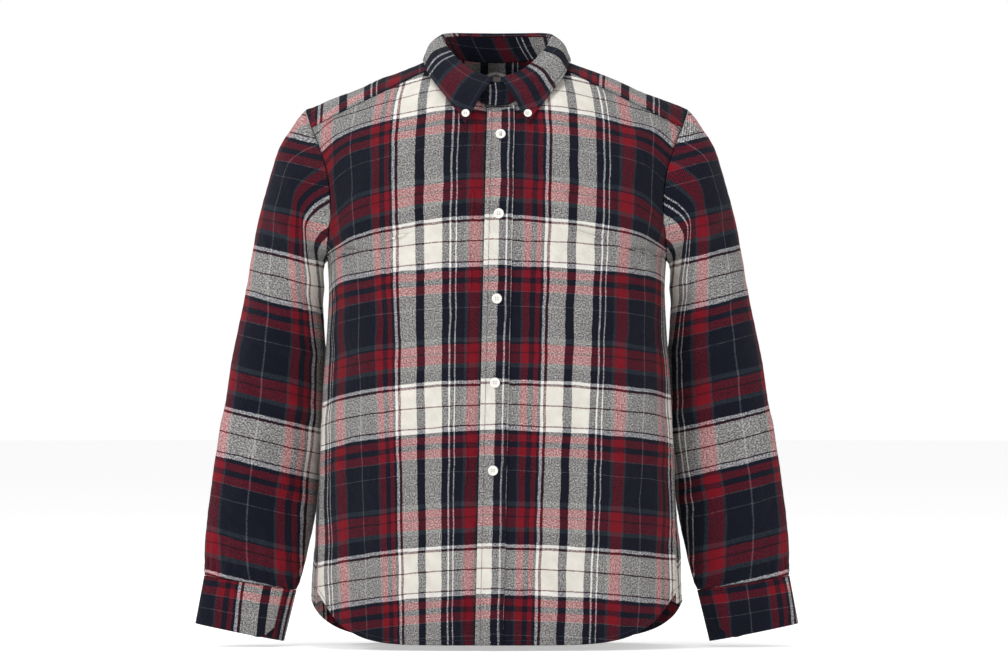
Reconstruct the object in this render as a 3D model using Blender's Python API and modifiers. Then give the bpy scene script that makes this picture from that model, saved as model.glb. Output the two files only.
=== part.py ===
"""Flannel shirt: a man's long-sleeved, button-down check shirt, in worn form with nobody in it.

Metres, +Z up. The front faces -Y and +X is the wearer's left. The origin is the centre of the
neck at the height where the shoulders meet the collar. Every cut piece is a thin wall of its
own: two fronts, placket, back, yoke, two sleeves with cuffs and sleeve plackets, collar stand,
collar leaf and the buttons. Neighbours along a seam stay SEAM apart.
"""

import math

import bmesh
import bpy
import numpy as np
from mathutils import Vector

# ---- driving sizes ----
CLOTH = 0.0010  # wall of one panel
DOUBLE_CLOTH = 0.0014  # wall of cuffs, stand, leaf and plackets
SEAM = 0.0003  # gap between neighbouring pieces
CORNER_SEAM = 0.00095  # the same gap where two pieces meet at an angle, across their outer faces
LAYER = DOUBLE_CLOTH + SEAM  # how far one layer lies outside the next
ROUNDNESS = 2.6  # power of the body's section: 2 is an ellipse, more is boxier

# The body's section at each height: half its width, its depth in front and its depth behind.
BODY = (
    # z, half_width, front_depth, back_depth
    (0.02, 0.243, 0.118, 0.112),
    (-0.08, 0.242, 0.119, 0.113),
    (-0.15, 0.236, 0.121, 0.114),
    (-0.20, 0.2245, 0.121, 0.113),
    (-0.24, 0.2125, 0.120, 0.112),
    (-0.30, 0.2120, 0.118, 0.109),
    (-0.40, 0.2190, 0.113, 0.105),
    (-0.50, 0.2250, 0.110, 0.103),
    (-0.60, 0.2310, 0.109, 0.103),
    (-0.72, 0.2370, 0.109, 0.104),
)

# Shoulders
RIDGE_AT_MIDDLE = 0.047  # height of the straight shoulder ridge, carried in to the middle
SHOULDER_SLOPE = 0.40
DOME = 0.20  # height over which the shoulders round over into the chest
NECK_BLEND = 0.09  # half width of the stretch of ridge that turns into the neckline
NECK_RISE = 0.009  # how far the neckline rises behind
NECK_DROP = 0.0365  # and how far it drops in front
FRONT_SEAM_ROLL = -math.radians(20)  # the yoke's front seam, as an angle over the shoulder
BACK_SEAM_Z = -0.100
SEAM_ROLL = SEAM / 0.12

# Neckline, an ellipse seen from above
NECK_HALF_WIDTH = 0.071
NECK_HALF_DEPTH = 0.0625
NECK_CENTRE_Y = -0.008
NECK_STEP = math.radians(12)
NECK_STEPS_TO_YOKE = 5
NECK_STEPS_OVER_SHOULDER = 5
SEAM_COLUMNS = 6  # along the yoke's front seam
BACK_COLUMNS = 20

# Armhole
ARMHOLE_TOP_X = 0.240
ARMHOLE_TOP_Z = -0.049
ARMHOLE_BOTTOM_Z = -0.237
ARMHOLE_STEPS = 9  # from the shoulder point down to the underarm point
ARMHOLE_PULL_FRONT = 0.0175  # how far the edge curves in towards the chest
ARMHOLE_PULL_BACK = 0.012
FRONT_SEAM_STEP = 2  # armhole steps at which the yoke's seams end
BACK_SEAM_STEP = 3

# Side seams and hem
SIDE_ANGLE_TOP = math.radians(89)
SIDE_ANGLE_HEM = math.radians(71)
SIDE_GAP = 0.0034  # radians from the seam's middle to each panel
HEM_FRONT = -0.716
HEM_BACK = -0.719
HEM_RISE_FRONT = 0.080
HEM_RISE_BACK = 0.066
HEM_POWER = 5.5
ROWS_BELOW_ARM = 12

# Front closure
PLACKET_WIDTH = 0.035
PLACKET_TOP_X = 0.0058
PLACKET_LEAN = 0.0227  # the closure drifts to the wearer's right going down
PLACKET_TOP_GAP = 0.0035
UNDERLAP = 0.033  # width of the right front that lies under the left
TUCK = 0.014  # width over which the right front dips under the left
TUCK_DEPTH = 0.0027
STRIP_COLUMNS = 3  # across the strip along the closure
COLLAR_BUTTON_RADIUS = 0.005
BUTTON_RADIUS = 0.0063
BUTTON_HEIGHT = 0.0024
BUTTON_STEPS = 16
BUTTON_GAP = 0.00055  # below a button, so that it clears cloth that curves under it
BUTTON_Z = (-0.083, -0.181, -0.286, -0.390, -0.499)

# Collar
STAND_TOP = (
    # neck_angle_deg, x, y, z
    (0, 0.000, -0.0655, -0.0180),
    (30, 0.0345, -0.0560, -0.0030),
    (60, 0.0600, -0.0300, 0.0230),
    (90, 0.0680, -0.0040, 0.0390),
    (120, 0.0590, 0.0250, 0.0445),
    (150, 0.0340, 0.0430, 0.0455),
    (180, 0.0000, 0.0490, 0.0455),
)
STAND_LAP = math.radians(14)
STAND_CORNER = 0.012
STAND_ROWS = 3
LEAF_EDGE = (
    # place_deg, x, y, height over the body
    (0, 0.0390, -0.0950, 0.0100),
    (14, 0.0480, -0.0890, 0.0090),
    (36, 0.0650, -0.0790, 0.0080),
    (64, 0.0860, -0.0540, 0.0070),
    (90, 0.0930, -0.0100, 0.0060),
    (120, 0.0830, 0.0370, 0.0070),
    (150, 0.0480, 0.0630, 0.0080),
    (180, 0.0000, 0.0700, 0.0080),
)
LEAF_END = math.radians(4)  # the leaves meet this far either side of the centre front
LEAF_COLUMNS = 14  # from one end to the centre back
LEAF_ROLL = 0.0035  # radius of the fold at the collar's top
LEAF_BULGE = 0.0030
LEAF_FALL_ROWS = 4
COLLAR_BUTTON_PLACE = 5  # degrees of leaf place
COLLAR_BUTTON_DOWN = 0.88  # share of the fall

# Sleeve sections from the armhole to the cuff, on the +X side.
SLEEVE = (
    # outer_x, outer_z, inner_x, inner_z, outer_y, inner_y, half_depth
    (0.2655, -0.0830, 0.2190, -0.2440, 0.001, 0.004, 0.0680),
    (0.2860, -0.1370, 0.2200, -0.2680, 0.002, 0.012, 0.0680),
    (0.3040, -0.2120, 0.2190, -0.3050, 0.004, 0.024, 0.0640),
    (0.3175, -0.2875, 0.2175, -0.3480, 0.006, 0.036, 0.0590),
    (0.3325, -0.3625, 0.2165, -0.4020, 0.008, 0.044, 0.0540),
    (0.3440, -0.4320, 0.2185, -0.4560, 0.008, 0.044, 0.0490),
    (0.3540, -0.4900, 0.2240, -0.5130, 0.006, 0.038, 0.0440),
    (0.3615, -0.5375, 0.2315, -0.5600, 0.004, 0.028, 0.0390),
    (0.3655, -0.5875, 0.2400, -0.6070, 0.002, 0.016, 0.0320),
    (0.3667, -0.6334, 0.2533, -0.6514, 0.000, 0.004, 0.0190),
)
SLEEVE_ROWS = 17
SLEEVE_COLUMNS = 2 * ARMHOLE_STEPS
SLEEVE_FOLDS = (
    # row, row_width, angle_deg, angle_width_deg, depth
    (2.6, 0.9, 150, 24, 0.0050),
    (4.2, 0.5, 118, 30, 0.0030),
    (5.1, 0.4, 200, 34, 0.0045),
    (5.8, 0.5, 78, 26, 0.0025),
    (7.1, 0.6, 236, 30, 0.0040),
    (8.6, 0.5, 60, 12, 0.0020),
    (8.8, 0.5, 106, 12, 0.0022),
    (8.7, 0.5, 252, 14, 0.0022),
)

# Cuffs
CUFF_TOP = (0.3668, -0.6342, 0.2534, -0.6522, 0.000, 0.004, 0.0190)
CUFF_END = (0.3780, -0.6940, 0.2690, -0.7160, 0.000, 0.004, 0.0185)
CUFF_LAP_FROM = math.radians(136)  # angle round the wrist at which the upper end stops
CUFF_LAP = math.radians(42)
CUFF_COLUMNS = 24
CUFF_ROWS = 3
CUFF_CORNER = 0.014
CUFF_BUTTON_ANGLE = math.radians(236)
SLEEVE_PLACKET_WIDTH = 0.024
SLEEVE_PLACKET_ROW = 12  # sleeve row at which it starts
SLEEVE_PLACKET_COLUMN = 11

# Soft folds of the body: where each is round it, how far it runs, and how deep it is.
FOLDS = (
    # angle_deg, width_deg, top_z, bottom_z, depth
    (66, 9, -0.20, -0.46, 0.0030),
    (-66, 9, -0.22, -0.50, 0.0030),
    (52, 7, -0.42, -0.70, 0.0022),
    (-48, 8, -0.40, -0.71, 0.0025),
    (122, 10, -0.21, -0.52, 0.0040),
    (-124, 10, -0.20, -0.48, 0.0040),
    (158, 9, -0.30, -0.70, 0.0030),
    (-150, 9, -0.34, -0.71, 0.0035),
)

FLANNEL_COLOUR = (0.10, 0.030, 0.045)
BUTTON_COLOUR = (0.80, 0.77, 0.72)


# ---- curves through tables ----
def along(table, place):
    """Row of a table at a place between its rows, by a smooth curve through them."""
    rows = np.array(table, float)
    keys = rows[:, 0]
    if keys[0] > keys[-1]:
        rows, keys = rows[::-1], keys[::-1]
    place = min(max(place, keys[0]), keys[-1])
    i = min(int(np.searchsorted(keys, place, side="right")) - 1, len(keys) - 2)
    before, after = max(i - 1, 0), min(i + 2, len(keys) - 1)
    step = keys[i + 1] - keys[i]
    t = (place - keys[i]) / step
    rise_in = (rows[i + 1] - rows[before]) / (keys[i + 1] - keys[before]) * step
    rise_out = (rows[after] - rows[i]) / (keys[after] - keys[i]) * step
    found = rows[i] * (2 * t**3 - 3 * t**2 + 1) + rise_in * (t**3 - 2 * t**2 + t)
    found += rows[i + 1] * (3 * t**2 - 2 * t**3) + rise_out * (t**3 - t**2)
    return found[1:]


def ease(t):
    t = min(max(t, 0.0), 1.0)
    return t * t * (3 - 2 * t)


def between(a, b, t):
    return a + (b - a) * t


# ---- the body's surface ----
def ridge(x, front):
    """Height of the shoulder ridge at x. front is 1 at the yoke's front seam, 0 behind the ridge."""
    x = abs(x)
    if x >= NECK_BLEND:
        return RIDGE_AT_MIDDLE - SHOULDER_SLOPE * x
    at_blend = RIDGE_AT_MIDDLE - SHOULDER_SLOPE * NECK_BLEND
    rounded = at_blend + SHOULDER_SLOPE / (2 * NECK_BLEND) * (NECK_BLEND**2 - x**2)
    middle = (1 - (x / NECK_BLEND) ** 2) ** 2
    return rounded + between(NECK_RISE, -NECK_DROP, front) * middle


def fold_depth(angle, z):
    """How far the soft folds draw the cloth in at this place."""
    depth = 0.0
    for fold_angle, width, top, bottom, deep in FOLDS:
        across = (math.degrees(angle) - fold_angle) / width
        down = (top - z) / (top - bottom)
        if 0 < down < 1:
            depth += deep * math.exp(-across * across) * math.sin(math.pi * down) ** 2
    return depth


def body(angle, z):
    """Point of the body at an angle from the centre front and a height."""
    half_width, front_depth, back_depth = along(BODY, z)
    front = abs(angle) < math.pi / 2
    x = math.copysign(half_width * abs(math.sin(angle)) ** (2 / ROUNDNESS), math.sin(angle))
    h = min(max(ridge(x, float(front)) - z, 0.0), DOME)
    depth = front_depth if front else back_depth
    y = depth * abs(math.cos(angle)) ** (2 / ROUNDNESS) * math.sqrt(1 - (1 - h / DOME) ** 2)
    inward = fold_depth(angle, z)
    x *= 1 - inward / half_width
    y *= 1 - inward / depth
    return Vector((x, -y if front else y, z))


def angle_of(x, z):
    """Angle from the centre front of the front surface at x and z."""
    half_width = along(BODY, z)[0]
    return math.copysign(math.asin(min(abs(x) / half_width, 1) ** (ROUNDNESS / 2)), x)


def flank(x, z):
    """Share of the full depth that is left at x."""
    half_width = along(BODY, z)[0]
    return (1 - min(abs(x) / half_width, 0.999) ** ROUNDNESS) ** (1 / ROUNDNESS)


def over_shoulder(x, roll):
    """Point of the shoulder: roll is 0 on the ridge, less in front and more behind."""
    z = ridge(x, ease(roll / FRONT_SEAM_ROLL)) - DOME * (1 - math.cos(roll))
    depth = along(BODY, z)[1 if roll < 0 else 2]
    return Vector((x, depth * flank(x, z) * math.sin(roll), z))


def roll_at(x, y):
    """Roll over the shoulder of the place that lies at x and y seen from above."""
    roll = math.copysign(0.4, y)
    for _ in range(12):
        z = over_shoulder(x, roll).z
        depth = along(BODY, z)[1 if y < 0 else 2]
        roll = math.asin(max(-0.999, min(0.999, y / (depth * flank(x, z)))))
    return roll


def back_roll(x, z):
    return math.acos(1 - (ridge(x, 0.0) - z) / DOME)


def neck(angle):
    """Point of the neckline at an angle from the centre front."""
    x = NECK_HALF_WIDTH * math.sin(angle)
    return over_shoulder(x, roll_at(x, NECK_CENTRE_Y - NECK_HALF_DEPTH * math.cos(angle)))


def armhole_z(step):
    turn = math.pi * step / ARMHOLE_STEPS
    return between(ARMHOLE_BOTTOM_Z, ARMHOLE_TOP_Z, (1 + math.cos(turn)) / 2)


def armhole_x(z, pull):
    """Half width of the body at the armhole's edge."""
    down = (ARMHOLE_TOP_Z - z) / (ARMHOLE_TOP_Z - ARMHOLE_BOTTOM_Z)
    down = min(max(down, 0.0), 1.0)
    bottom_x = along(BODY, ARMHOLE_BOTTOM_Z)[0]
    return between(ARMHOLE_TOP_X, bottom_x, down) - pull * (4 * down * (1 - down)) ** 1.5


def armhole(step, front):
    """Point of the armhole's edge on the +X side. Step 0 is the shoulder point."""
    z = armhole_z(step)
    if step == 0:
        return over_shoulder(ARMHOLE_TOP_X, 0.0)
    if step == ARMHOLE_STEPS:
        return body(SIDE_ANGLE_TOP, z)
    angle = angle_of(armhole_x(z, ARMHOLE_PULL_FRONT if front else ARMHOLE_PULL_BACK), z)
    return body(angle if front else math.pi - angle, z)


# ---- making the pieces ----
def make_material(name, colour, roughness):
    made = bpy.data.materials.new(name)
    made.use_nodes = True
    shader = made.node_tree.nodes["Principled BSDF"]
    shader.inputs["Base Color"].default_value = (*colour, 1)
    shader.inputs["Roughness"].default_value = roughness
    return made


def make_sheet(name, rows, wall, turn=False, closed=False, lift=0.0):
    """A piece of cloth from rows of points on its outer face, thickened inwards.

    The outer face looks along column direction x row direction, or the other way with turn.
    """
    width = len(rows[0])
    grid = bmesh.new()
    bmesh.ops.create_grid(grid, x_segments=width - 1, y_segments=len(rows) - 1, size=1)
    for i, vert in enumerate(grid.verts):
        vert.co = rows[i // width][i % width]
    if closed:
        bmesh.ops.remove_doubles(grid, verts=grid.verts, dist=1e-6)
    if turn:
        bmesh.ops.reverse_faces(grid, faces=grid.faces)
    grid.normal_update()
    lifted = [vert.co + vert.normal * lift for vert in grid.verts]
    for vert, place in zip(grid.verts, lifted):
        vert.co = place
    mesh = bpy.data.meshes.new(name)
    grid.to_mesh(mesh)
    grid.free()
    mesh.shade_smooth()
    mesh.materials.append(flannel)
    piece = bpy.data.objects.new(name, mesh)
    shirt.objects.link(piece)
    thicken = piece.modifiers.new("wall", "SOLIDIFY")
    thicken.thickness = wall
    thicken.offset = -1
    return piece


def make_button(name, place, facing, radius):
    """A turned button with a raised rim, lying just off the cloth at a place."""
    disc = bmesh.new()
    profile = ((0, 0.6), (0.62, 0.6), (0.8, 1), (0.93, 0.95), (1, 0.5), (0.88, 0), (0, 0))
    points = [disc.verts.new((out * radius, 0, up * BUTTON_HEIGHT)) for out, up in profile]
    for first, second in zip(points, points[1:]):
        disc.edges.new((first, second))
    bmesh.ops.spin(
        disc,
        geom=disc.verts[:] + disc.edges[:],
        axis=(0, 0, 1),
        cent=(0, 0, 0),
        angle=math.tau,
        steps=BUTTON_STEPS,
        use_merge=True,
    )
    bmesh.ops.remove_doubles(disc, verts=disc.verts, dist=1e-6)
    bmesh.ops.recalc_face_normals(disc, faces=disc.faces)
    mesh = bpy.data.meshes.new(name)
    disc.to_mesh(mesh)
    disc.free()
    mesh.shade_smooth()
    mesh.set_sharp_from_angle(angle=math.radians(40))
    mesh.materials.append(shell)
    piece = bpy.data.objects.new(name, mesh)
    piece.location = place + facing * BUTTON_GAP
    piece.rotation_mode = "QUATERNION"
    piece.rotation_quaternion = facing.to_track_quat("Z", "Y")
    shirt.objects.link(piece)


# ---- fronts and placket ----
def placket_x(z):
    """Middle of the closure at a height."""
    return PLACKET_TOP_X + PLACKET_LEAN * (z + PLACKET_WIDTH)


def hem(angle, middle, rise):
    """Height of the curved hem at an angle from the middle of a front or of the back."""
    return middle + rise * abs(math.sin(angle)) ** (2 * HEM_POWER / ROUNDNESS)


def side_angle(z):
    down = (ARMHOLE_BOTTOM_Z - z) / (ARMHOLE_BOTTOM_Z - HEM_FRONT)
    return between(SIDE_ANGLE_TOP, SIDE_ANGLE_HEM, ease(down))


def edge_levels(first_step, hem_z):
    """Heights of a panel's rows at its outer edge: the armhole's steps, then even ones to the hem."""
    levels = [armhole_z(step) for step in range(first_step, ARMHOLE_STEPS + 1)]
    for row in range(1, ROWS_BELOW_ARM + 1):
        levels.append(between(ARMHOLE_BOTTOM_Z, hem_z, row / ROWS_BELOW_ARM))
    return levels


def front_seam(side):
    """Places along the yoke's front seam, from the neckline to the armhole, as x and roll."""
    start = neck(NECK_STEP * NECK_STEPS_TO_YOKE)
    end = armhole(FRONT_SEAM_STEP, True)
    roll_in, roll_out = roll_at(start.x, start.y), roll_at(end.x, end.y)
    for column in range(SEAM_COLUMNS + 1):
        t = column / SEAM_COLUMNS
        yield between(start.x, end.x, t) * side, between(roll_in, roll_out, t)


def chest_facing(x, z):
    """The way the chest faces near the closure."""
    here, lower = body(angle_of(x, z), z), body(angle_of(x, z), z - 0.01)
    return Vector((0, lower.z - here.z, here.y - lower.y)).normalized()


def front_rows(side, strip, neck_angles, inner_x):
    """Rows of a front from its top edge to the hem, each from the closure to the side seam.

    Its first columns span a strip of that width along the closure.
    """
    across = [strip * i / STRIP_COLUMNS for i in range(STRIP_COLUMNS + 1)]
    start_x = inner_x(neck(0).z) * side
    in_neck = [math.asin((start_x + out) / NECK_HALF_WIDTH) for out in across]
    top = [neck(angle * side) for angle in in_neck + neck_angles]
    top += [over_shoulder(x, roll - SEAM_ROLL) for x, roll in list(front_seam(side))[1:]]
    angles = [angle_of(point.x, point.z) * side for point in top]
    in_strip = angles[STRIP_COLUMNS]
    shares = [(angle - in_strip) / (angles[-1] - in_strip) for angle in angles]
    levels = edge_levels(FRONT_SEAM_STEP, hem(SIDE_ANGLE_HEM, HEM_FRONT, HEM_RISE_FRONT))
    rows = [top]
    for level in levels[1:]:
        down = (levels[0] - level) / (levels[0] - levels[-1])
        if level > ARMHOLE_BOTTOM_Z + SEAM:
            outer = angle_of(armhole_x(level, ARMHOLE_PULL_FRONT), level)
        else:
            outer = side_angle(level) - SIDE_GAP
        row = []
        for column, (share, start) in enumerate(zip(shares, top)):
            hem_z = hem(max(share, 0) * SIDE_ANGLE_HEM, HEM_FRONT, HEM_RISE_FRONT)
            z = level if share == shares[-1] else between(start.z, hem_z, down)
            angle = angle_of(inner_x(z) * side + across[min(column, STRIP_COLUMNS)], z)
            if column > STRIP_COLUMNS:
                angle = between(angle, outer, share)
            row.append(body(angle * side, z))
        rows.append(row)
    return rows


def make_fronts():
    def left_edge(z):
        return placket_x(z) - PLACKET_WIDTH / 2

    def right_edge(z):
        return left_edge(z) + UNDERLAP

    steps = [NECK_STEP * step for step in range(2, NECK_STEPS_TO_YOKE + 1)]
    left = front_rows(1, PLACKET_WIDTH, steps, left_edge)
    make_sheet("front_left", left, CLOTH, turn=True)

    # The right front runs on under the left, so its inner part dips in by one layer.
    right = front_rows(-1, UNDERLAP + TUCK, steps, right_edge)
    for row in right:
        for i, point in enumerate(row):
            under = ease(1 + (point.x - left_edge(point.z) + CORNER_SEAM) / TUCK)
            row[i] = point - chest_facing(point.x, point.z) * under * TUCK_DEPTH
    make_sheet("front_right", right, CLOTH)

    placket = [row[: STRIP_COLUMNS + 1] for row in left]
    first, second = placket[:2]
    share = PLACKET_TOP_GAP / (first[0].z - second[0].z)
    placket[0] = [between(point, lower, share) for point, lower in zip(first, second)]
    make_sheet("placket", placket, DOUBLE_CLOTH, turn=True, lift=LAYER)
    for number, z in enumerate(BUTTON_Z, 1):
        facing = chest_facing(placket_x(z), z)
        place = body(angle_of(placket_x(z), z), z) + facing * LAYER
        make_button(f"button_{number}", place, facing, BUTTON_RADIUS)


# ---- back and yoke ----
def back_seam():
    """Places along the yoke's back seam from -X to +X, as x and roll."""
    end = armhole(BACK_SEAM_STEP, False)
    for column in range(BACK_COLUMNS + 1):
        x = between(-end.x, end.x, column / BACK_COLUMNS)
        z = between(BACK_SEAM_Z, end.z, abs(x / end.x) ** 4)
        yield x, back_roll(x, z)


def make_back():
    top = [over_shoulder(x, roll + SEAM_ROLL) for x, roll in back_seam()]
    edge = angle_of(top[-1].x, top[-1].z)
    shares = [angle_of(point.x, point.z) / edge for point in top]
    levels = edge_levels(BACK_SEAM_STEP, hem(math.pi - SIDE_ANGLE_HEM, HEM_BACK, HEM_RISE_BACK))
    rows = [top]
    for level in levels[1:]:
        down = (levels[0] - level) / (levels[0] - levels[-1])
        if level > ARMHOLE_BOTTOM_Z + SEAM:
            outer = angle_of(armhole_x(level, ARMHOLE_PULL_BACK), level)
        else:
            outer = math.pi - side_angle(level) - SIDE_GAP
        row = []
        for share, start in zip(shares, top):
            hem_z = hem(share * math.pi / 2, HEM_BACK, HEM_RISE_BACK)
            z = level if abs(share) == 1 else between(start.z, hem_z, down)
            row.append(body(math.copysign(math.pi, share) - share * outer, z))
        rows.append(row)
    make_sheet("back", rows, CLOTH)


def yoke_rim():
    """Places round the yoke's outer edge, from the front seam at +X round the back to that at -X."""
    front = [armhole(step, True) for step in range(FRONT_SEAM_STEP, -1, -1)]
    behind = [armhole(step, False) for step in range(1, BACK_SEAM_STEP + 1)]
    shoulder = [(point.x, roll_at(point.x, point.y)) for point in front + behind]
    shoulder[FRONT_SEAM_STEP] = (ARMHOLE_TOP_X, 0.0)
    across = list(back_seam())[::-1]
    other = [(-x, roll) for x, roll in shoulder[::-1]]
    return shoulder + across[1:-1] + other


def make_yoke():
    start = NECK_STEP * NECK_STEPS_TO_YOKE
    turn_back = start + NECK_STEP * NECK_STEPS_OVER_SHOULDER
    angles = [start + NECK_STEP * step for step in range(NECK_STEPS_OVER_SHOULDER + 1)]
    across = math.tau - 2 * turn_back
    angles += [turn_back + across * i / BACK_COLUMNS for i in range(1, BACK_COLUMNS)]
    angles += [math.tau - angle for angle in angles[NECK_STEPS_OVER_SHOULDER::-1]]
    columns = []
    for angle, (rim_x, rim_roll) in zip(angles, yoke_rim()):
        inner = neck(angle)
        roll = roll_at(inner.x, inner.y)
        columns.append(
            [
                over_shoulder(between(inner.x, rim_x, t), between(roll, rim_roll, t))
                for t in (row / SEAM_COLUMNS for row in range(SEAM_COLUMNS + 1))
            ]
        )
    make_sheet("yoke", columns, CLOTH, turn=True)


# ---- collar ----
def stand_point(angle, up, layer=0.0):
    """Point of the stand: up is 0 at the neckline and 1 at the top."""
    low = neck(angle) + Vector((0, 0, CORNER_SEAM))
    turned = abs((math.degrees(angle) + 180) % 360 - 180)
    x, y, z = along(STAND_TOP, turned)
    high = Vector((math.copysign(x, math.sin(angle)), y, z))
    out = Vector((math.sin(angle), -math.cos(angle), 0))
    return between(low, high, up) + out * layer


def make_stand():
    sweep = math.tau + 2 * STAND_LAP
    count = 34
    rows = []
    for row in range(STAND_ROWS + 1):
        points = []
        for column in range(count + 1):
            turned = sweep * column / count
            # The wearer's left end lies over the right one.
            layer = LAYER * (1 - ease((turned - 2 * STAND_LAP) / STAND_LAP / 2))
            to_end = min(turned, sweep - turned) * NECK_HALF_WIDTH
            corner = max(1 - to_end / STAND_CORNER, 0)
            top = 1 - (1 - math.sqrt(1 - corner**2)) * 0.4
            points.append(stand_point(turned - STAND_LAP, top * row / STAND_ROWS, layer))
        rows.append(points)
    make_sheet("collar_stand", rows, DOUBLE_CLOTH)


def leaf_column(place, side):
    """Points across the leaf, from its seam with the stand over the fold to its outer edge."""
    angle = LEAF_END + (math.pi - LEAF_END) * place / 180
    seam = stand_point(angle * side, 1)
    x, y, height = along(LEAF_EDGE, place)
    edge = over_shoulder(x * side, roll_at(x, y)) + Vector((0, 0, height))
    out = Vector((math.sin(angle) * side, -math.cos(angle), 0))
    up = Vector((0, 0, 1))
    start = seam - out * DOUBLE_CLOTH + up * CORNER_SEAM
    centre = start + out * LEAF_ROLL + up * 0.001
    points = [start]
    for turn in (180, 130, 85, 40):
        turn = math.radians(turn)
        points.append(centre + (out * math.cos(turn) + up * math.sin(turn)) * LEAF_ROLL)
    last = points[-1]
    for row in range(1, LEAF_FALL_ROWS + 1):
        t = row / LEAF_FALL_ROWS
        bulge = (out + up) * LEAF_BULGE * math.sin(math.pi * min(t * 1.1, 1))
        points.append(between(last, edge, t) + bulge)
    return points


def make_leaf():
    places = [180 * i / LEAF_COLUMNS for i in range(LEAF_COLUMNS + 1)]
    columns = [leaf_column(place, 1) for place in places]
    columns += [leaf_column(place, -1) for place in places[-2::-1]]
    make_sheet("collar_leaf", columns, DOUBLE_CLOTH)
    for name, side in (("left", 1), ("right", -1)):
        here = leaf_column(COLLAR_BUTTON_PLACE, side)
        beside = leaf_column(COLLAR_BUTTON_PLACE + 6, side)
        share = (COLLAR_BUTTON_DOWN - 1) * LEAF_FALL_ROWS
        place = between(here[-1], here[-2], -share)
        facing = (here[-1] - here[-2]).cross(beside[-1] - here[-1]).normalized() * -side
        if facing.y > 0:
            facing.negate()
        make_button(f"collar_button_{name}", place, facing, COLLAR_BUTTON_RADIUS)


# ---- sleeves and cuffs ----
def ring_point(section, angle):
    """Point round a sleeve section: 0 is its outer side, 90 degrees its front."""
    outer_x, outer_z, inner_x, inner_z, outer_y, inner_y, half_depth = section
    outer = Vector((outer_x, outer_y, outer_z))
    inner = Vector((inner_x, inner_y, inner_z))
    middle = (outer + inner) / 2
    return middle + (outer - middle) * math.cos(angle) - Vector((0, half_depth * math.sin(angle), 0))


def sleeve_point(row, angle):
    """Point of the +X sleeve: row 0 is the armhole, and the later rows are those of SLEEVE."""
    column = math.degrees(angle) / 360 * SLEEVE_COLUMNS % SLEEVE_COLUMNS
    low, part = int(column), column % 1

    def key(i):
        if i > 0:
            return ring_point(SLEEVE[min(i, len(SLEEVE)) - 1], angle)
        ends = [hole(step % SLEEVE_COLUMNS) for step in (low, low + 1)]
        start = between(ends[0], ends[1], part)
        out = ring_point(SLEEVE[0], angle) - start
        return start + out.normalized() * CORNER_SEAM

    def hole(step):
        return armhole(min(step, SLEEVE_COLUMNS - step), step <= ARMHOLE_STEPS)

    i = min(int(row), len(SLEEVE) - 1)
    t = row - i
    p0, p1, p2, p3 = key(max(i - 1, 0)), key(i), key(i + 1), key(i + 2)
    point = (
        p1 * 2
        + (p2 - p0) * t
        + (p0 * 2 - p1 * 5 + p2 * 4 - p3) * t**2
        + (p1 * 3 - p0 - p2 * 3 + p3) * t**3
    ) / 2
    inward = 0.0
    for fold_row, row_width, fold_angle, angle_width, deep in SLEEVE_FOLDS:
        away = ((row - fold_row) / row_width) ** 2
        away += ((math.degrees(angle) % 360 - fold_angle) / angle_width) ** 2
        inward += deep * math.exp(-away)
    middle = (key(i) + ring_other(i, angle)) / 2 if i else point
    toward = middle - point
    return point + toward.normalized() * inward if toward.length > 0.005 else point


def ring_other(i, angle):
    return ring_point(SLEEVE[min(i, len(SLEEVE)) - 1], angle + math.pi)


def mirrored(rows, side):
    return [[Vector((point.x * side, point.y, point.z)) for point in row] for row in rows]


def cuff_point(angle, down, layer):
    """Point of the +X cuff: down is 0 at the sleeve and 1 at the wrist's edge."""
    section = [between(a, b, down) for a, b in zip(CUFF_TOP, CUFF_END)]
    point = ring_point(section, angle)
    middle = (ring_point(section, 0) + ring_point(section, math.pi)) / 2
    away = point - middle
    flat = Vector((away.x * 0.25, away.y, away.z * 0.25))
    return point + flat.normalized() * layer


def cuff_rows():
    sweep = math.tau + CUFF_LAP
    depth = (Vector(CUFF_END[:2]) - Vector(CUFF_TOP[:2])).length
    girth = sweep * CUFF_END[6] * 2
    rows = []
    for row in range(CUFF_ROWS + 1):
        points = []
        for column in range(CUFF_COLUMNS + 1):
            turned = sweep * column / CUFF_COLUMNS
            layer = LAYER * (1 - ease((turned - CUFF_LAP) / CUFF_LAP))
            to_end = turned / sweep * girth
            corner = max(1 - to_end / CUFF_CORNER, 0)
            reach = 1 - (1 - math.sqrt(1 - corner**2)) * CUFF_CORNER / depth
            down = reach * (row / CUFF_ROWS)
            points.append(cuff_point(CUFF_LAP_FROM - turned, down, layer))
        rows.append(points)
    return rows


def sleeve_placket_rows(rows):
    """The sleeve placket's points: some of the sleeve's own, and a strip's width beside them."""
    strip = []
    for ring in rows[SLEEVE_PLACKET_ROW:]:
        near, middle, far = ring[SLEEVE_PLACKET_COLUMN : SLEEVE_PLACKET_COLUMN + 3]
        rest = SLEEVE_PLACKET_WIDTH - (middle - near).length
        strip.append([near, middle, between(middle, far, rest / (far - middle).length)])
    return strip


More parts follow.
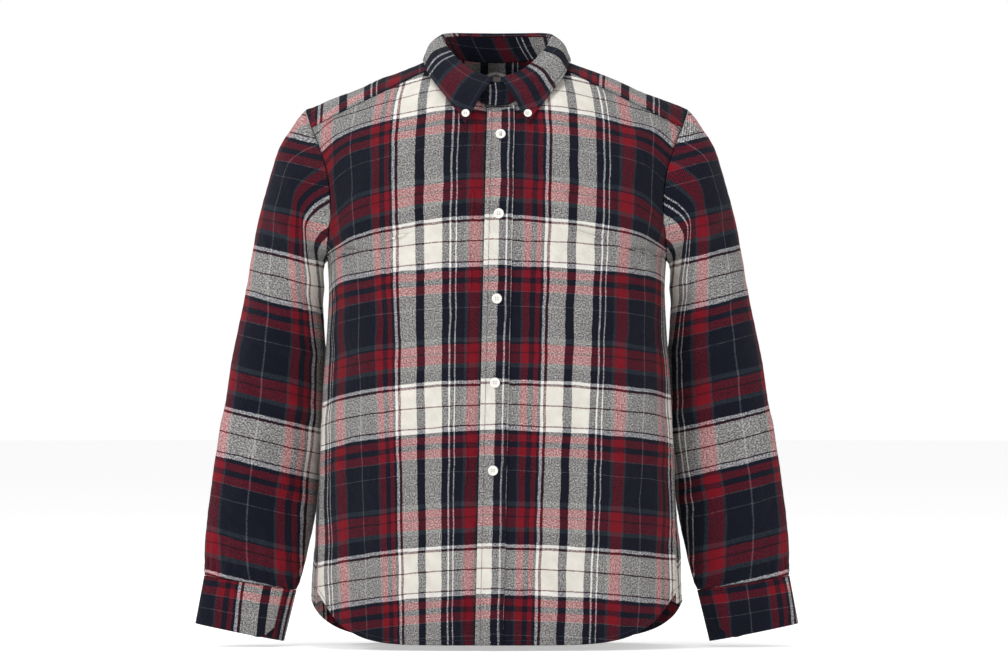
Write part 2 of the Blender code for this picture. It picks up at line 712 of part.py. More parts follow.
def make_sleeves():
    rows = []
    for row in range(SLEEVE_ROWS + 1):
        place = row / SLEEVE_ROWS * len(SLEEVE)
        ring = [
            sleeve_point(place, math.tau * (column % SLEEVE_COLUMNS) / SLEEVE_COLUMNS)
            for column in range(SLEEVE_COLUMNS + 1)
        ]
        rows.append(ring)
    cuff = cuff_rows()
    strip = sleeve_placket_rows(rows)
    spot = cuff_point(CUFF_BUTTON_ANGLE, 0.5, 0)
    beside = cuff_point(CUFF_BUTTON_ANGLE + 0.1, 0.5, 0)
    below = cuff_point(CUFF_BUTTON_ANGLE, 0.6, 0)
    facing = (below - spot).cross(beside - spot).normalized()
    for name, side in (("left", 1), ("right", -1)):
        make_sheet(f"sleeve_{name}", mirrored(rows, side), CLOTH, turn=side > 0, closed=True)
        make_sheet(f"cuff_{name}", mirrored(cuff, side), DOUBLE_CLOTH, turn=side < 0)
        make_sheet(
            f"sleeve_placket_{name}",
            mirrored(strip, side),
            DOUBLE_CLOTH,
            turn=side > 0,
            lift=LAYER + SEAM,
        )
        towards = Vector((facing.x * side, facing.y, facing.z))
        place = Vector((spot.x * side, spot.y, spot.z))
        make_button(f"cuff_button_{name}", place, towards, COLLAR_BUTTON_RADIUS)


for old in list(bpy.data.objects):
    bpy.data.objects.remove(old)
shirt = bpy.data.collections.new("flannel_shirt")
bpy.context.scene.collection.children.link(shirt)
flannel = make_material("brushed check flannel", FLANNEL_COLOUR, 0.95)
shell = make_material("button", BUTTON_COLOUR, 0.35)
make_fronts()
make_back()
make_yoke()
make_stand()
make_leaf()
make_sleeves()
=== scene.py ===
"""Flannel shirt: a man's long-sleeved, button-down check shirt in brushed cotton, worn form.

Metres, +Z up, the front faces -Y and +X is the wearer's left. Each cut piece is a thin shell on
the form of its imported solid, and takes that solid's place.
"""

import math

import bmesh
import bpy
import numpy as np
from mathutils import Matrix, Vector


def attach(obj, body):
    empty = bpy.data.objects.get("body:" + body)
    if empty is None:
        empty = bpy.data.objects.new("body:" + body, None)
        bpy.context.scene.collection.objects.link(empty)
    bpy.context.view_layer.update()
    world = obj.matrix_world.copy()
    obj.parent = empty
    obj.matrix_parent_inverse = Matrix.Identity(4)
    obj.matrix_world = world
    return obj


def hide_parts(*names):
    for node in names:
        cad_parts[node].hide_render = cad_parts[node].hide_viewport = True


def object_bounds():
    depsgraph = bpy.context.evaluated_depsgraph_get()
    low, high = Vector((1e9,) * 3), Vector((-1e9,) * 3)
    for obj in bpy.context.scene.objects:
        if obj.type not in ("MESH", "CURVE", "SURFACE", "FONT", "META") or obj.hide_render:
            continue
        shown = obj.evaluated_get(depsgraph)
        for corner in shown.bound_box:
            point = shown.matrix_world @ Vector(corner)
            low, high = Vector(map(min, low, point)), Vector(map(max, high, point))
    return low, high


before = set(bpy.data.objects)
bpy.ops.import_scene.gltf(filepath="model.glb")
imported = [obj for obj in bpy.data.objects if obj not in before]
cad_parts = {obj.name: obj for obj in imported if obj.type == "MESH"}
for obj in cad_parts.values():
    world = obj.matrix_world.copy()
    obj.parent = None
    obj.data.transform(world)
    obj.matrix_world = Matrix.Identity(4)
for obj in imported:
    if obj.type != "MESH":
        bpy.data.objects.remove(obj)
cad_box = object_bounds()


# ---- back ----
# One panel from the yoke's seam to the long curved hem, in brushed cotton twill with a large
# check. It is cut on the straight, sewn to the yoke above and to the fronts at the sides.
CLOTH = 0.0010  # wall of one panel
SEAM = 0.0003  # gap between neighbouring pieces
ROUNDNESS = 2.6  # power of the body's section: 2 is an ellipse, more is boxier
BODY = (
    # z, half_width, front_depth, back_depth
    (0.02, 0.243, 0.118, 0.112),
    (-0.08, 0.242, 0.119, 0.113),
    (-0.15, 0.236, 0.121, 0.114),
    (-0.20, 0.2245, 0.121, 0.113),
    (-0.24, 0.2125, 0.120, 0.112),
    (-0.30, 0.2120, 0.118, 0.109),
    (-0.40, 0.2190, 0.113, 0.105),
    (-0.50, 0.2250, 0.110, 0.103),
    (-0.60, 0.2310, 0.109, 0.103),
    (-0.72, 0.2370, 0.109, 0.104),
)
RIDGE_AT_MIDDLE = 0.047  # height of the straight shoulder ridge, carried in to the middle
SHOULDER_SLOPE = 0.40
DOME = 0.20  # height over which the shoulders round over into the chest
NECK_BLEND = 0.09  # half width of the stretch of ridge that turns into the neckline
NECK_RISE = 0.009  # how far the neckline rises behind
NECK_DROP = 0.0365  # and how far it drops in front
FRONT_SEAM_ROLL = -math.radians(20)  # the yoke's front seam, as an angle over the shoulder
BACK_SEAM_Z = -0.100
SEAM_ROLL = SEAM / 0.12
ARMHOLE_TOP_X = 0.240
ARMHOLE_TOP_Z = -0.049
ARMHOLE_BOTTOM_Z = -0.237
ARMHOLE_STEPS = 9  # from the shoulder point down to the underarm point
ARMHOLE_PULL_FRONT = 0.0175  # how far the edge curves in towards the chest
ARMHOLE_PULL_BACK = 0.012
BACK_SEAM_STEP = 3
SIDE_ANGLE_TOP = math.radians(89)
SIDE_ANGLE_HEM = math.radians(71)
SIDE_GAP = 0.0034  # radians from the seam's middle to each panel
HEM_FRONT = -0.716
HEM_BACK = -0.719
HEM_RISE_BACK = 0.066
HEM_POWER = 5.5
ROWS_BELOW_ARM = 12
BACK_COLUMNS = 20
FOLDS = (
    # angle_deg, width_deg, top_z, bottom_z, depth
    (66, 9, -0.20, -0.46, 0.0030),
    (-66, 9, -0.22, -0.50, 0.0030),
    (52, 7, -0.42, -0.70, 0.0022),
    (-48, 8, -0.40, -0.71, 0.0025),
    (122, 10, -0.21, -0.52, 0.0040),
    (-124, 10, -0.20, -0.48, 0.0040),
    (158, 9, -0.30, -0.70, 0.0030),
    (-150, 9, -0.34, -0.71, 0.0035),
)
WARP_REPEAT = 0.190  # the check's width and height
WEFT_REPEAT = 0.20375
NAVY = (0.0040, 0.0052, 0.0135)
RED = (0.195, 0.0045, 0.0130)
DARK_RED = (0.050, 0.0035, 0.0080)
CREAM = (0.810, 0.775, 0.700)
WHITE = (0.860, 0.850, 0.830)
TEAL = (0.030, 0.042, 0.050)
LIGHT = (0.105, 0.112, 0.122)
WARP = (
    # width in threads of 1.25 mm, colour
    (12, RED), (2, TEAL), (19, NAVY), (1, LIGHT), (19, NAVY), (2, TEAL), (7, RED), (5, NAVY), (5, RED),
    (3, NAVY), (3, WHITE), (3, DARK_RED), (17, CREAM), (9, NAVY), (18, CREAM), (7.5, NAVY), (1.5, WHITE),
    (4, NAVY), (1.5, WHITE), (9, NAVY), (3, TEAL),
)
WEFT = (
    (1.4, DARK_RED), (19, CREAM), (1.4, DARK_RED), (19, CREAM), (1.4, DARK_RED), (4, WHITE), (4, NAVY),
    (7, RED), (6, NAVY), (8, RED), (1, LIGHT), (14, NAVY), (1, LIGHT), (30, NAVY), (4.5, TEAL),
    (1.5, NAVY), (8, RED), (2, DARK_RED), (9.5, RED), (4.5, TEAL), (13, NAVY), (3, WHITE), (1, NAVY),
)
WEFT_LINE = -0.188  # height of the check's first dark line at the middle of the chest
CHECK_LEVEL = -0.30
BACK_CHECK = 0.058  # place in the check at the middle of the back
BACK_DROOP = 0.3  # how much the check's rows drop towards the sides, per metre squared
BLUR = 0.0024  # width over which the brushed nap blurs a stripe's edge
WANDER = 0.004  # how far a stripe wanders from its line
TWILL_PITCH = 0.0018
RIPPLE = 0.0005  # depth of the ripples all over the cloth
FINE_RIPPLE = 0.00022
CREASE_BEND = 0.9  # how strongly a crease curves along its length
RIDGE_SHARE = 0.45  # height of the ridge beside a crease, as a share of the crease's depth
RIDGE_AWAY = 1.9  # and its distance from it, in crease widths
PUCKER_INSET = 0.007  # from a seam to the puckers beside it
PUCKER_WIDTH = 0.005
PUCKER_RATE = 620
CREASE_EDGE = 0.016  # creases die out this near a seam
STITCH = 0.0024  # length of one stitch
STITCH_PITCH = 0.0032
STITCH_WIDTH = 0.0005
EDGE_STITCH = 0.0062  # from an edge to its row of stitches
SEAM_THREAD_COLOUR = (0.030, 0.026, 0.045)
BACK_CREASES = (
    # x, z, lean_deg, length, width, depth
    (-0.150, -0.260, 38, 0.20, 0.012, 0.0032), (-0.120, -0.330, 52, 0.17, 0.014, 0.0024),
    (0.155, -0.250, -34, 0.22, 0.013, 0.0034), (0.118, -0.345, -50, 0.15, 0.014, 0.0022),
    (-0.060, -0.520, 8, 0.30, 0.020, 0.0030), (0.072, -0.560, -11, 0.25, 0.017, 0.0026),
    (0.010, -0.240, 3, 0.24, 0.022, 0.0022), (-0.165, -0.560, 14, 0.19, 0.014, 0.0026),
    (0.168, -0.520, -7, 0.23, 0.015, 0.0028), (-0.020, -0.430, 74, 0.16, 0.013, 0.0016),
    (0.050, -0.400, -66, 0.13, 0.011, 0.0018), (-0.095, -0.170, 82, 0.12, 0.012, 0.0014),
)


def along(table, place):
    """Row of a table at a place between its rows, by a smooth curve through them."""
    rows = np.array(table, float)
    keys = rows[:, 0]
    if keys[0] > keys[-1]:
        rows, keys = rows[::-1], keys[::-1]
    place = min(max(place, keys[0]), keys[-1])
    i = min(int(np.searchsorted(keys, place, side="right")) - 1, len(keys) - 2)
    before, after = max(i - 1, 0), min(i + 2, len(keys) - 1)
    step = keys[i + 1] - keys[i]
    t = (place - keys[i]) / step
    rise_in = (rows[i + 1] - rows[before]) / (keys[i + 1] - keys[before]) * step
    rise_out = (rows[after] - rows[i]) / (keys[after] - keys[i]) * step
    found = rows[i] * (2 * t**3 - 3 * t**2 + 1) + rise_in * (t**3 - 2 * t**2 + t)
    found += rows[i + 1] * (3 * t**2 - 2 * t**3) + rise_out * (t**3 - t**2)
    return found[1:]


def ease(t):
    t = min(max(t, 0.0), 1.0)
    return t * t * (3 - 2 * t)


def between(a, b, t):
    return a + (b - a) * t


def ridge(x, front):
    """Height of the shoulder ridge at x. front is 1 at the yoke's front seam, 0 behind the ridge."""
    x = abs(x)
    if x >= NECK_BLEND:
        return RIDGE_AT_MIDDLE - SHOULDER_SLOPE * x
    at_blend = RIDGE_AT_MIDDLE - SHOULDER_SLOPE * NECK_BLEND
    rounded = at_blend + SHOULDER_SLOPE / (2 * NECK_BLEND) * (NECK_BLEND**2 - x**2)
    middle = (1 - (x / NECK_BLEND) ** 2) ** 2
    return rounded + between(NECK_RISE, -NECK_DROP, front) * middle


def fold_depth(angle, z):
    """How far the soft folds draw the cloth in at this place."""
    depth = 0.0
    for fold_angle, width, top, bottom, deep in FOLDS:
        across = (math.degrees(angle) - fold_angle) / width
        down = (top - z) / (top - bottom)
        if 0 < down < 1:
            depth += deep * math.exp(-across * across) * math.sin(math.pi * down) ** 2
    return depth


def body(angle, z):
    """Point of the body at an angle from the centre front and a height."""
    half_width, front_depth, back_depth = along(BODY, z)
    front = abs(angle) < math.pi / 2
    x = math.copysign(half_width * abs(math.sin(angle)) ** (2 / ROUNDNESS), math.sin(angle))
    h = min(max(ridge(x, float(front)) - z, 0.0), DOME)
    depth = front_depth if front else back_depth
    y = depth * abs(math.cos(angle)) ** (2 / ROUNDNESS) * math.sqrt(1 - (1 - h / DOME) ** 2)
    inward = fold_depth(angle, z)
    x *= 1 - inward / half_width
    y *= 1 - inward / depth
    return Vector((x, -y if front else y, z))


def angle_of(x, z):
    """Angle from the centre front of the front surface at x and z."""
    half_width = along(BODY, z)[0]
    return math.copysign(math.asin(min(abs(x) / half_width, 1) ** (ROUNDNESS / 2)), x)


def flank(x, z):
    """Share of the full depth that is left at x."""
    half_width = along(BODY, z)[0]
    return (1 - min(abs(x) / half_width, 0.999) ** ROUNDNESS) ** (1 / ROUNDNESS)


def over_shoulder(x, roll):
    """Point of the shoulder: roll is 0 on the ridge, less in front and more behind."""
    z = ridge(x, ease(roll / FRONT_SEAM_ROLL)) - DOME * (1 - math.cos(roll))
    depth = along(BODY, z)[1 if roll < 0 else 2]
    return Vector((x, depth * flank(x, z) * math.sin(roll), z))


def roll_at(x, y):
    """Roll over the shoulder of the place that lies at x and y seen from above."""
    roll = math.copysign(0.4, y)
    for _ in range(12):
        z = over_shoulder(x, roll).z
        depth = along(BODY, z)[1 if y < 0 else 2]
        roll = math.asin(max(-0.999, min(0.999, y / (depth * flank(x, z)))))
    return roll


def back_roll(x, z):
    return math.acos(1 - (ridge(x, 0.0) - z) / DOME)


def armhole_z(step):
    turn = math.pi * step / ARMHOLE_STEPS
    return between(ARMHOLE_BOTTOM_Z, ARMHOLE_TOP_Z, (1 + math.cos(turn)) / 2)


def armhole_x(z, pull):
    """Half width of the body at the armhole's edge."""
    down = (ARMHOLE_TOP_Z - z) / (ARMHOLE_TOP_Z - ARMHOLE_BOTTOM_Z)
    down = min(max(down, 0.0), 1.0)
    bottom_x = along(BODY, ARMHOLE_BOTTOM_Z)[0]
    return between(ARMHOLE_TOP_X, bottom_x, down) - pull * (4 * down * (1 - down)) ** 1.5


def armhole(step, front):
    """Point of the armhole's edge on the +X side. Step 0 is the shoulder point."""
    z = armhole_z(step)
    if step == 0:
        return over_shoulder(ARMHOLE_TOP_X, 0.0)
    if step == ARMHOLE_STEPS:
        return body(SIDE_ANGLE_TOP, z)
    angle = angle_of(armhole_x(z, ARMHOLE_PULL_FRONT if front else ARMHOLE_PULL_BACK), z)
    return body(angle if front else math.pi - angle, z)


def hem(angle, middle, rise):
    """Height of the curved hem at an angle from the middle of a front or of the back."""
    return middle + rise * abs(math.sin(angle)) ** (2 * HEM_POWER / ROUNDNESS)


def side_angle(z):
    down = (ARMHOLE_BOTTOM_Z - z) / (ARMHOLE_BOTTOM_Z - HEM_FRONT)
    return between(SIDE_ANGLE_TOP, SIDE_ANGLE_HEM, ease(down))


def outer_angle(level, pull, side):
    """Angle of a panel's outer edge: the armhole's down to the underarm, then the side seam's."""
    if level > ARMHOLE_BOTTOM_Z + SEAM:
        return angle_of(armhole_x(level, pull), level)
    return side - SIDE_GAP


def edge_levels(first_step, hem_z):
    """Heights of a panel's rows at its outer edge: the armhole's steps, then even ones to the hem."""
    levels = [armhole_z(step) for step in range(first_step, ARMHOLE_STEPS + 1)]
    for row in range(1, ROWS_BELOW_ARM + 1):
        levels.append(between(ARMHOLE_BOTTOM_Z, hem_z, row / ROWS_BELOW_ARM))
    return levels


def back_seam():
    """Places along the yoke's back seam from -X to +X, as x and roll."""
    end = armhole(BACK_SEAM_STEP, False)
    for column in range(BACK_COLUMNS + 1):
        x = between(-end.x, end.x, column / BACK_COLUMNS)
        z = between(BACK_SEAM_Z, end.z, abs(x / end.x) ** 4)
        yield x, back_roll(x, z)


def smooth_curve(p0, p1, p2, p3, t):
    """Point a share t of the way from p1 to p2, on a curve that p0 and p3 also shape."""
    curve = 2 * p1 + (p2 - p0) * t + (2 * p0 - 5 * p1 + 4 * p2 - p3) * t**2
    return (curve + (3 * p1 - p0 - 3 * p2 + p3) * t**3) / 2


def finer(rows, down, across, closed=False):
    """The same surface on smooth curves, with more points between its rows and its columns."""
    points = np.array([[tuple(point) for point in row] for row in rows])
    for factor, joined in ((down, False), (across, closed)):
        count = len(points)
        places = np.linspace(0, count - 1, (count - 1) * factor + 1)
        i = np.minimum(places.astype(int), count - 2)
        t = (places - i)[:, None, None]
        before = points[-2:-1] if joined else 2 * points[:1] - points[1:2]
        after = points[1:2] if joined else 2 * points[-1:] - points[-2:-1]
        ends = (np.concatenate([before, points, after])[i + k] for k in range(4))
        points = smooth_curve(*ends, t).swapaxes(0, 1)
    return points


def travelled(points, axis, flat=False):
    """Length along the cloth from its first row (axis 0) or its first column (axis 1)."""
    steps = np.diff(points[..., :2] if flat else points, axis=axis)
    lengths = np.cumsum(np.linalg.norm(steps, axis=-1), axis=axis)
    return np.insert(lengths, 0, 0, axis=axis)


def facings(points, turn=False, closed=False):
    """Outward direction at every point."""
    wide = np.concatenate([points[:, -2:-1], points, points[:, 1:2]], axis=1) if closed else points
    out = np.cross(np.gradient(wide, axis=1), np.gradient(wide, axis=0))
    out = out[:, 1:-1] if closed else out
    out /= np.maximum(np.linalg.norm(out, axis=-1, keepdims=True), 1e-12)
    return -out if turn else out


def from_edges(points, closed=False):
    """Distance from the nearest seam or edge of the piece."""
    down, across = travelled(points, 0), travelled(points, 1)
    near = np.minimum(down, down[-1:] - down)
    return near if closed else np.minimum(near, np.minimum(across, across[:, -1:] - across))


def creased(points, out, creases, closed=False, pucker=0.0005):
    """Cloth with its soft troughs, faint ripples all over, and puckers beside its seams."""
    x, y, z = points[..., 0], points[..., 1], points[..., 2]
    inward = RIPPLE * np.sin(71 * x + 3 * np.sin(37 * z) + 23 * y)
    inward += RIPPLE * np.sin(63 * z + 2.4 * np.sin(52 * x) + 31 * y)
    fine = np.sin(190 * x + 5 * np.sin(61 * z)) * np.sin(170 * z + 4 * np.sin(83 * x))
    inward += FINE_RIPPLE * fine
    for middle_x, middle_z, lean, length, width, depth in creases:
        lean = math.radians(lean)
        by_x, by_z = x - middle_x, z - middle_z
        on = by_x * math.sin(lean) - by_z * math.cos(lean)
        aside = by_x * math.cos(lean) + by_z * math.sin(lean) + CREASE_BEND * on**2
        taper = np.cos(np.clip(on / length, -0.5, 0.5) * math.pi) ** 2
        ridge_beside = RIDGE_SHARE * np.exp(-(((aside - RIDGE_AWAY * width) / width) ** 2))
        inward += depth * taper * (np.exp(-((aside / width) ** 2)) - ridge_beside)
    edge = from_edges(points, closed)
    inside = np.clip(edge / CREASE_EDGE, 0, 1)
    inward *= inside**2 * (3 - 2 * inside)
    beside = np.exp(-(((edge - PUCKER_INSET) / PUCKER_WIDTH) ** 2))
    along_seam = PUCKER_RATE * (x + z) + 4 * np.sin(93 * x) + 4 * np.sin(81 * z)
    inward += pucker * beside * (0.6 + np.sin(along_seam))
    return points - out * inward[..., None]


def coloured_threads(nodes, links, place, repeat, stripes, name):
    """A ramp of hard-edged stripes that repeats along one direction of the cloth.

    Its colours are square roots: mixed threads look as dark as mixed square roots do.
    """
    share = nodes.new("ShaderNodeMath")
    share.operation = "DIVIDE"
    share.inputs[1].default_value = repeat
    links.new(place, share.inputs[0])
    part = nodes.new("ShaderNodeMath")
    part.operation = "FRACT"
    links.new(share.outputs[0], part.inputs[0])
    ramp = nodes.new("ShaderNodeValToRGB")
    ramp.label = name
    ramp.color_ramp.interpolation = "CONSTANT"
    total = sum(width for width, _ in stripes)
    start = 0.0
    for number, (width, colour) in enumerate(stripes):
        if number < 2:
            stop = ramp.color_ramp.elements[number]
            stop.position = start / total
        else:
            stop = ramp.color_ramp.elements.new(start / total)
        stop.color = (*(math.sqrt(value) for value in colour), 1)
        start += width
    links.new(part.outputs[0], ramp.inputs[0])
    return ramp.outputs[0]


def math_node(nodes, links, operation, *values, clamp=False):
    made = nodes.new("ShaderNodeMath")
    made.operation = operation
    made.use_clamp = clamp
    for socket, value in zip(made.inputs, values):
        if isinstance(value, (int, float)):
            socket.default_value = value
        else:
            links.new(value, socket)
    return made.outputs[0]


def noise(nodes, links, vector, scale, detail=2.0):
    made = nodes.new("ShaderNodeTexNoise")
    made.inputs["Scale"].default_value = scale
    made.inputs["Detail"].default_value = detail
    links.new(vector, made.inputs["Vector"])
    return made.outputs["Fac"]


def brushed_check():
    """Twill of coloured warp and weft threads, brushed so that the edges of its stripes blur."""
    made = bpy.data.materials.new("brushed check flannel")
    made.use_nodes = True
    nodes, links = made.node_tree.nodes, made.node_tree.links
    shader = nodes["Principled BSDF"]
    shader.inputs["Roughness"].default_value = 0.94
    shader.inputs["Sheen Weight"].default_value = 0.035
    shader.inputs["Sheen Roughness"].default_value = 0.6
    shader.inputs["Specular IOR Level"].default_value = 0.10
    cloth_map = nodes.new("ShaderNodeUVMap")
    cloth_map.uv_map = "cloth"
    place = nodes.new("ShaderNodeSeparateXYZ")
    links.new(cloth_map.outputs[0], place.inputs[0])
    fuzz = noise(nodes, links, cloth_map.outputs[0], 900, 3)
    blur = math_node(nodes, links, "MULTIPLY_ADD", fuzz, BLUR, -BLUR / 2)
    waver = noise(nodes, links, cloth_map.outputs[0], 22, 2)
    wander = math_node(nodes, links, "MULTIPLY_ADD", waver, WANDER, -WANDER / 2)
    shift = math_node(nodes, links, "ADD", blur, wander)
    across = math_node(nodes, links, "ADD", place.outputs[0], shift)
    down = math_node(nodes, links, "ADD", place.outputs[1], shift)
    warp = coloured_threads(nodes, links, across, WARP_REPEAT, WARP, "warp")
    weft = coloured_threads(nodes, links, down, WEFT_REPEAT, WEFT, "weft")
    # The twill's ribs lean, and each shows now more of the warp and now more of the weft.
    lean = math_node(nodes, links, "ADD", place.outputs[0], place.outputs[1])
    turns = math_node(nodes, links, "MULTIPLY", lean, math.tau / TWILL_PITCH)
    ribs = math_node(nodes, links, "SINE", turns)
    slub = noise(nodes, links, cloth_map.outputs[0], 560, 4)
    share = math_node(nodes, links, "MULTIPLY_ADD", slub, 1.7, -0.35)
    share = math_node(nodes, links, "MULTIPLY_ADD", ribs, 0.16, share, clamp=True)
    threads = nodes.new("ShaderNodeMix")
    threads.data_type = "RGBA"
    links.new(share, threads.inputs[0])
    links.new(warp, threads.inputs[6])
    links.new(weft, threads.inputs[7])
    seen = nodes.new("ShaderNodeMix")
    seen.data_type = "RGBA"
    seen.blend_type = "MULTIPLY"
    seen.inputs[0].default_value = 1
    links.new(threads.outputs[2], seen.inputs[6])
    links.new(threads.outputs[2], seen.inputs[7])
    worn = noise(nodes, links, cloth_map.outputs[0], 60, 3)
    tone = nodes.new("ShaderNodeHueSaturation")
    links.new(math_node(nodes, links, "MULTIPLY_ADD", worn, 0.35, 0.83), tone.inputs["Value"])
    links.new(seen.outputs[2], tone.inputs["Color"])
    links.new(tone.outputs[0], shader.inputs["Base Color"])
    nap = math_node(nodes, links, "ADD", slub, fuzz)
    relief = math_node(nodes, links, "MULTIPLY_ADD", ribs, 0.25, nap)
    creases = noise(nodes, links, cloth_map.outputs[0], 85, 3)
    bump = nodes.new("ShaderNodeBump")
    bump.inputs["Strength"].default_value = 0.8
    bump.inputs["Distance"].default_value = 0.0016
    links.new(math_node(nodes, links, "MULTIPLY_ADD", creases, 4.0, relief), bump.inputs["Height"])
    links.new(bump.outputs[0], shader.inputs["Normal"])
    return made


def put_in_scene(name, data):
    made = bpy.data.objects.new(name, data)
    bpy.context.scene.collection.objects.link(made)
    return made


def finished_mesh(made, name, finishes):
    """A bmesh turned into a mesh with its materials."""
    mesh = bpy.data.meshes.new(name)
    made.to_mesh(mesh)
    made.free()
    for finish in finishes:
        mesh.materials.append(finish)
    return mesh


def sew(node, points, cloth_place, wall, turn=False, closed=False):
    count, width = points.shape[:2]
    grid = bmesh.new()
    bmesh.ops.create_grid(grid, x_segments=width - 1, y_segments=count - 1, size=1)
    flat_points = points.reshape(-1, 3)
    across, down = (values.reshape(-1) for values in cloth_place)
    layer = grid.loops.layers.uv.new("cloth")
    grid.verts.ensure_lookup_table()
    grid.verts.index_update()
    for vert in grid.verts:
        vert.co = flat_points[vert.index]
    for face in grid.faces:
        for loop in face.loops:
            loop[layer].uv = (across[loop.vert.index], down[loop.vert.index])
    if closed:
        bmesh.ops.remove_doubles(grid, verts=grid.verts, dist=1e-6)
    if turn:
        bmesh.ops.reverse_faces(grid, faces=grid.faces)
    area = sum(face.calc_area() for face in grid.faces)
    mesh = finished_mesh(grid, f"{node}_cloth", [flannel])
    mesh.shade_smooth()
    piece = put_in_scene(f"{node}_cloth", mesh)
    thicken = piece.modifiers.new("wall", "SOLIDIFY")
    thicken.thickness = wall
    thicken.offset = -1
    cut = (float(travelled(points, 1)[:, -1].max()), float(travelled(points, 0)[-1].max()))
    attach(piece, "root")
    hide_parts(node)


def check_down(points, droop):
    """Place in the check down the cloth, measured along each column from CHECK_LEVEL."""
    gone = travelled(points, 0)
    nearest = np.abs(points[..., 2] - CHECK_LEVEL).argmin(axis=0)
    columns = np.arange(points.shape[1])
    rest = CHECK_LEVEL - points[nearest, columns, 2]
    start = gone[nearest, columns] - rest
    return gone - start[None] + (WEFT_LINE - CHECK_LEVEL) - droop


flannel = brushed_check()


def sew_on_thread(made, name):
    """Stitches that ride with the shirt."""
    piece = put_in_scene(name, finished_mesh(made, name, [seam_thread]))
    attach(piece, "root")


def plain_finish(name, colour, roughness, mottle=0.0):
    """One even colour with a faint cloudiness, as spun thread or cast resin has."""
    made = bpy.data.materials.new(name)
    made.use_nodes = True
    nodes, links = made.node_tree.nodes, made.node_tree.links
    shader = nodes["Principled BSDF"]
    shader.inputs["Roughness"].default_value = roughness
    where = nodes.new("ShaderNodeTexCoord")
    cloud = noise(nodes, links, where.outputs["Object"], 420, 3)
    tone = nodes.new("ShaderNodeHueSaturation")
    tone.inputs["Color"].default_value = (*colour, 1)
    value = math_node(nodes, links, "MULTIPLY_ADD", cloud, mottle, 1 - mottle / 2)
    links.new(value, tone.inputs["Value"])
    links.new(tone.outputs[0], shader.inputs["Base Color"])
    return made


def inset_line(points, out, edge, inset):
    """The line a distance in from one edge of a piece, with the outward directions along it."""
    if edge in ("top", "bottom"):
        points, out = points.swapaxes(0, 1), out.swapaxes(0, 1)
    if edge in ("right", "bottom"):
        points, out = points[:, ::-1], out[:, ::-1]
    gone = travelled(points, 1)
    line = []
    for row, facing, lengths in zip(points, out, gone):
        i = int(np.searchsorted(lengths, inset)) - 1
        t = (inset - lengths[i]) / (lengths[i + 1] - lengths[i])
        line.append((between(row[i], row[i + 1], t), facing[i]))
    return line


def one_stitch(made, start, end, facing, width=STITCH_WIDTH):
    """A short strand that lies on the cloth from start to end."""
    strand = bmesh.ops.create_cube(made, size=1)["verts"]
    on = Vector(end) - Vector(start)
    up = Vector(facing)
    side = up.cross(on).normalized()
    turn = Matrix((on.normalized(), side, up)).transposed().to_4x4()
    size = Matrix.Diagonal((on.length, width, width * 0.6, 1))
    middle = (Vector(start) + Vector(end)) / 2 + up * width * 0.25
    bmesh.ops.transform(made, verts=strand, matrix=Matrix.Translation(middle) @ turn @ size)


def topstitch(node, lines):
    """Rows of stitches along lines of points on a piece."""
    made = bmesh.new()
    for line in lines:
        places = np.array([place for place, _ in line])
        outs = np.array([facing for _, facing in line])
        lengths = np.insert(np.cumsum(np.linalg.norm(np.diff(places, axis=0), axis=1)), 0, 0)
        for number in range(int(lengths[-1] / STITCH_PITCH)):
            ends = []
            begin = number * STITCH_PITCH
            for gone in (begin, begin + STITCH):
                ends.append([float(np.interp(gone, lengths, places[:, axis])) for axis in range(3)])
            facing = outs[int(np.searchsorted(lengths, begin))]
            one_stitch(made, *ends, facing)
    sew_on_thread(made, f"{node}_stitching")


seam_thread = plain_finish("seam thread", SEAM_THREAD_COLOUR, 0.8, 0.4)


def make_back():
    top = [over_shoulder(x, roll + SEAM_ROLL) for x, roll in back_seam()]
    edge = angle_of(top[-1].x, top[-1].z)
    shares = [angle_of(point.x, point.z) / edge for point in top]
    levels = edge_levels(BACK_SEAM_STEP, hem(math.pi - SIDE_ANGLE_HEM, HEM_BACK, HEM_RISE_BACK))
    rows = [top]
    for level in levels[1:]:
        down = (levels[0] - level) / (levels[0] - levels[-1])
        outer = outer_angle(level, ARMHOLE_PULL_BACK, math.pi - side_angle(level))
        row = []
        for share, start in zip(shares, top):
            hem_z = hem(share * math.pi / 2, HEM_BACK, HEM_RISE_BACK)
            z = level if abs(share) == 1 else between(start.z, hem_z, down)
            row.append(body(math.copysign(math.pi, share) - share * outer, z))
        rows.append(row)
    points = finer(rows, 10, 8)
    gone = travelled(points, 1, flat=True)
    middle = gone[:, gone.shape[1] // 2][:, None]
    across = gone - middle
    points = creased(points, facings(points), BACK_CREASES)
    sew("back", points, (BACK_CHECK - across, check_down(points, BACK_DROOP * across**2)), CLOTH)
    topstitch("back", [inset_line(points, facings(points), "bottom", EDGE_STITCH)])


make_back()


# ---- yoke ----
# One shaped piece over both shoulders, from the front seams to the seam across the back. The
# back and the fronts are sewn to its edges, and the collar stand to its neckline.
NECK_HALF_WIDTH = 0.071
NECK_HALF_DEPTH = 0.0625
NECK_CENTRE_Y = -0.008
NECK_STEP = math.radians(12)
NECK_STEPS_TO_YOKE = 5
NECK_STEPS_OVER_SHOULDER = 5
SEAM_COLUMNS = 6  # along the yoke's front seam
FRONT_SEAM_STEP = 2  # armhole steps at which the yoke's seams end
YOKE_CHECK = (0.336, 0.120)
YOKE_STITCH = 0.002  # from the yoke's outer edge
YOKE_CREASES = ((0.14, -0.02, 62, 0.12, 0.012, 0.0016), (-0.15, -0.025, -58, 0.11, 0.012, 0.0016))


def neck(angle):
    """Point of the neckline at an angle from the centre front."""
    x = NECK_HALF_WIDTH * math.sin(angle)
    return over_shoulder(x, roll_at(x, NECK_CENTRE_Y - NECK_HALF_DEPTH * math.cos(angle)))


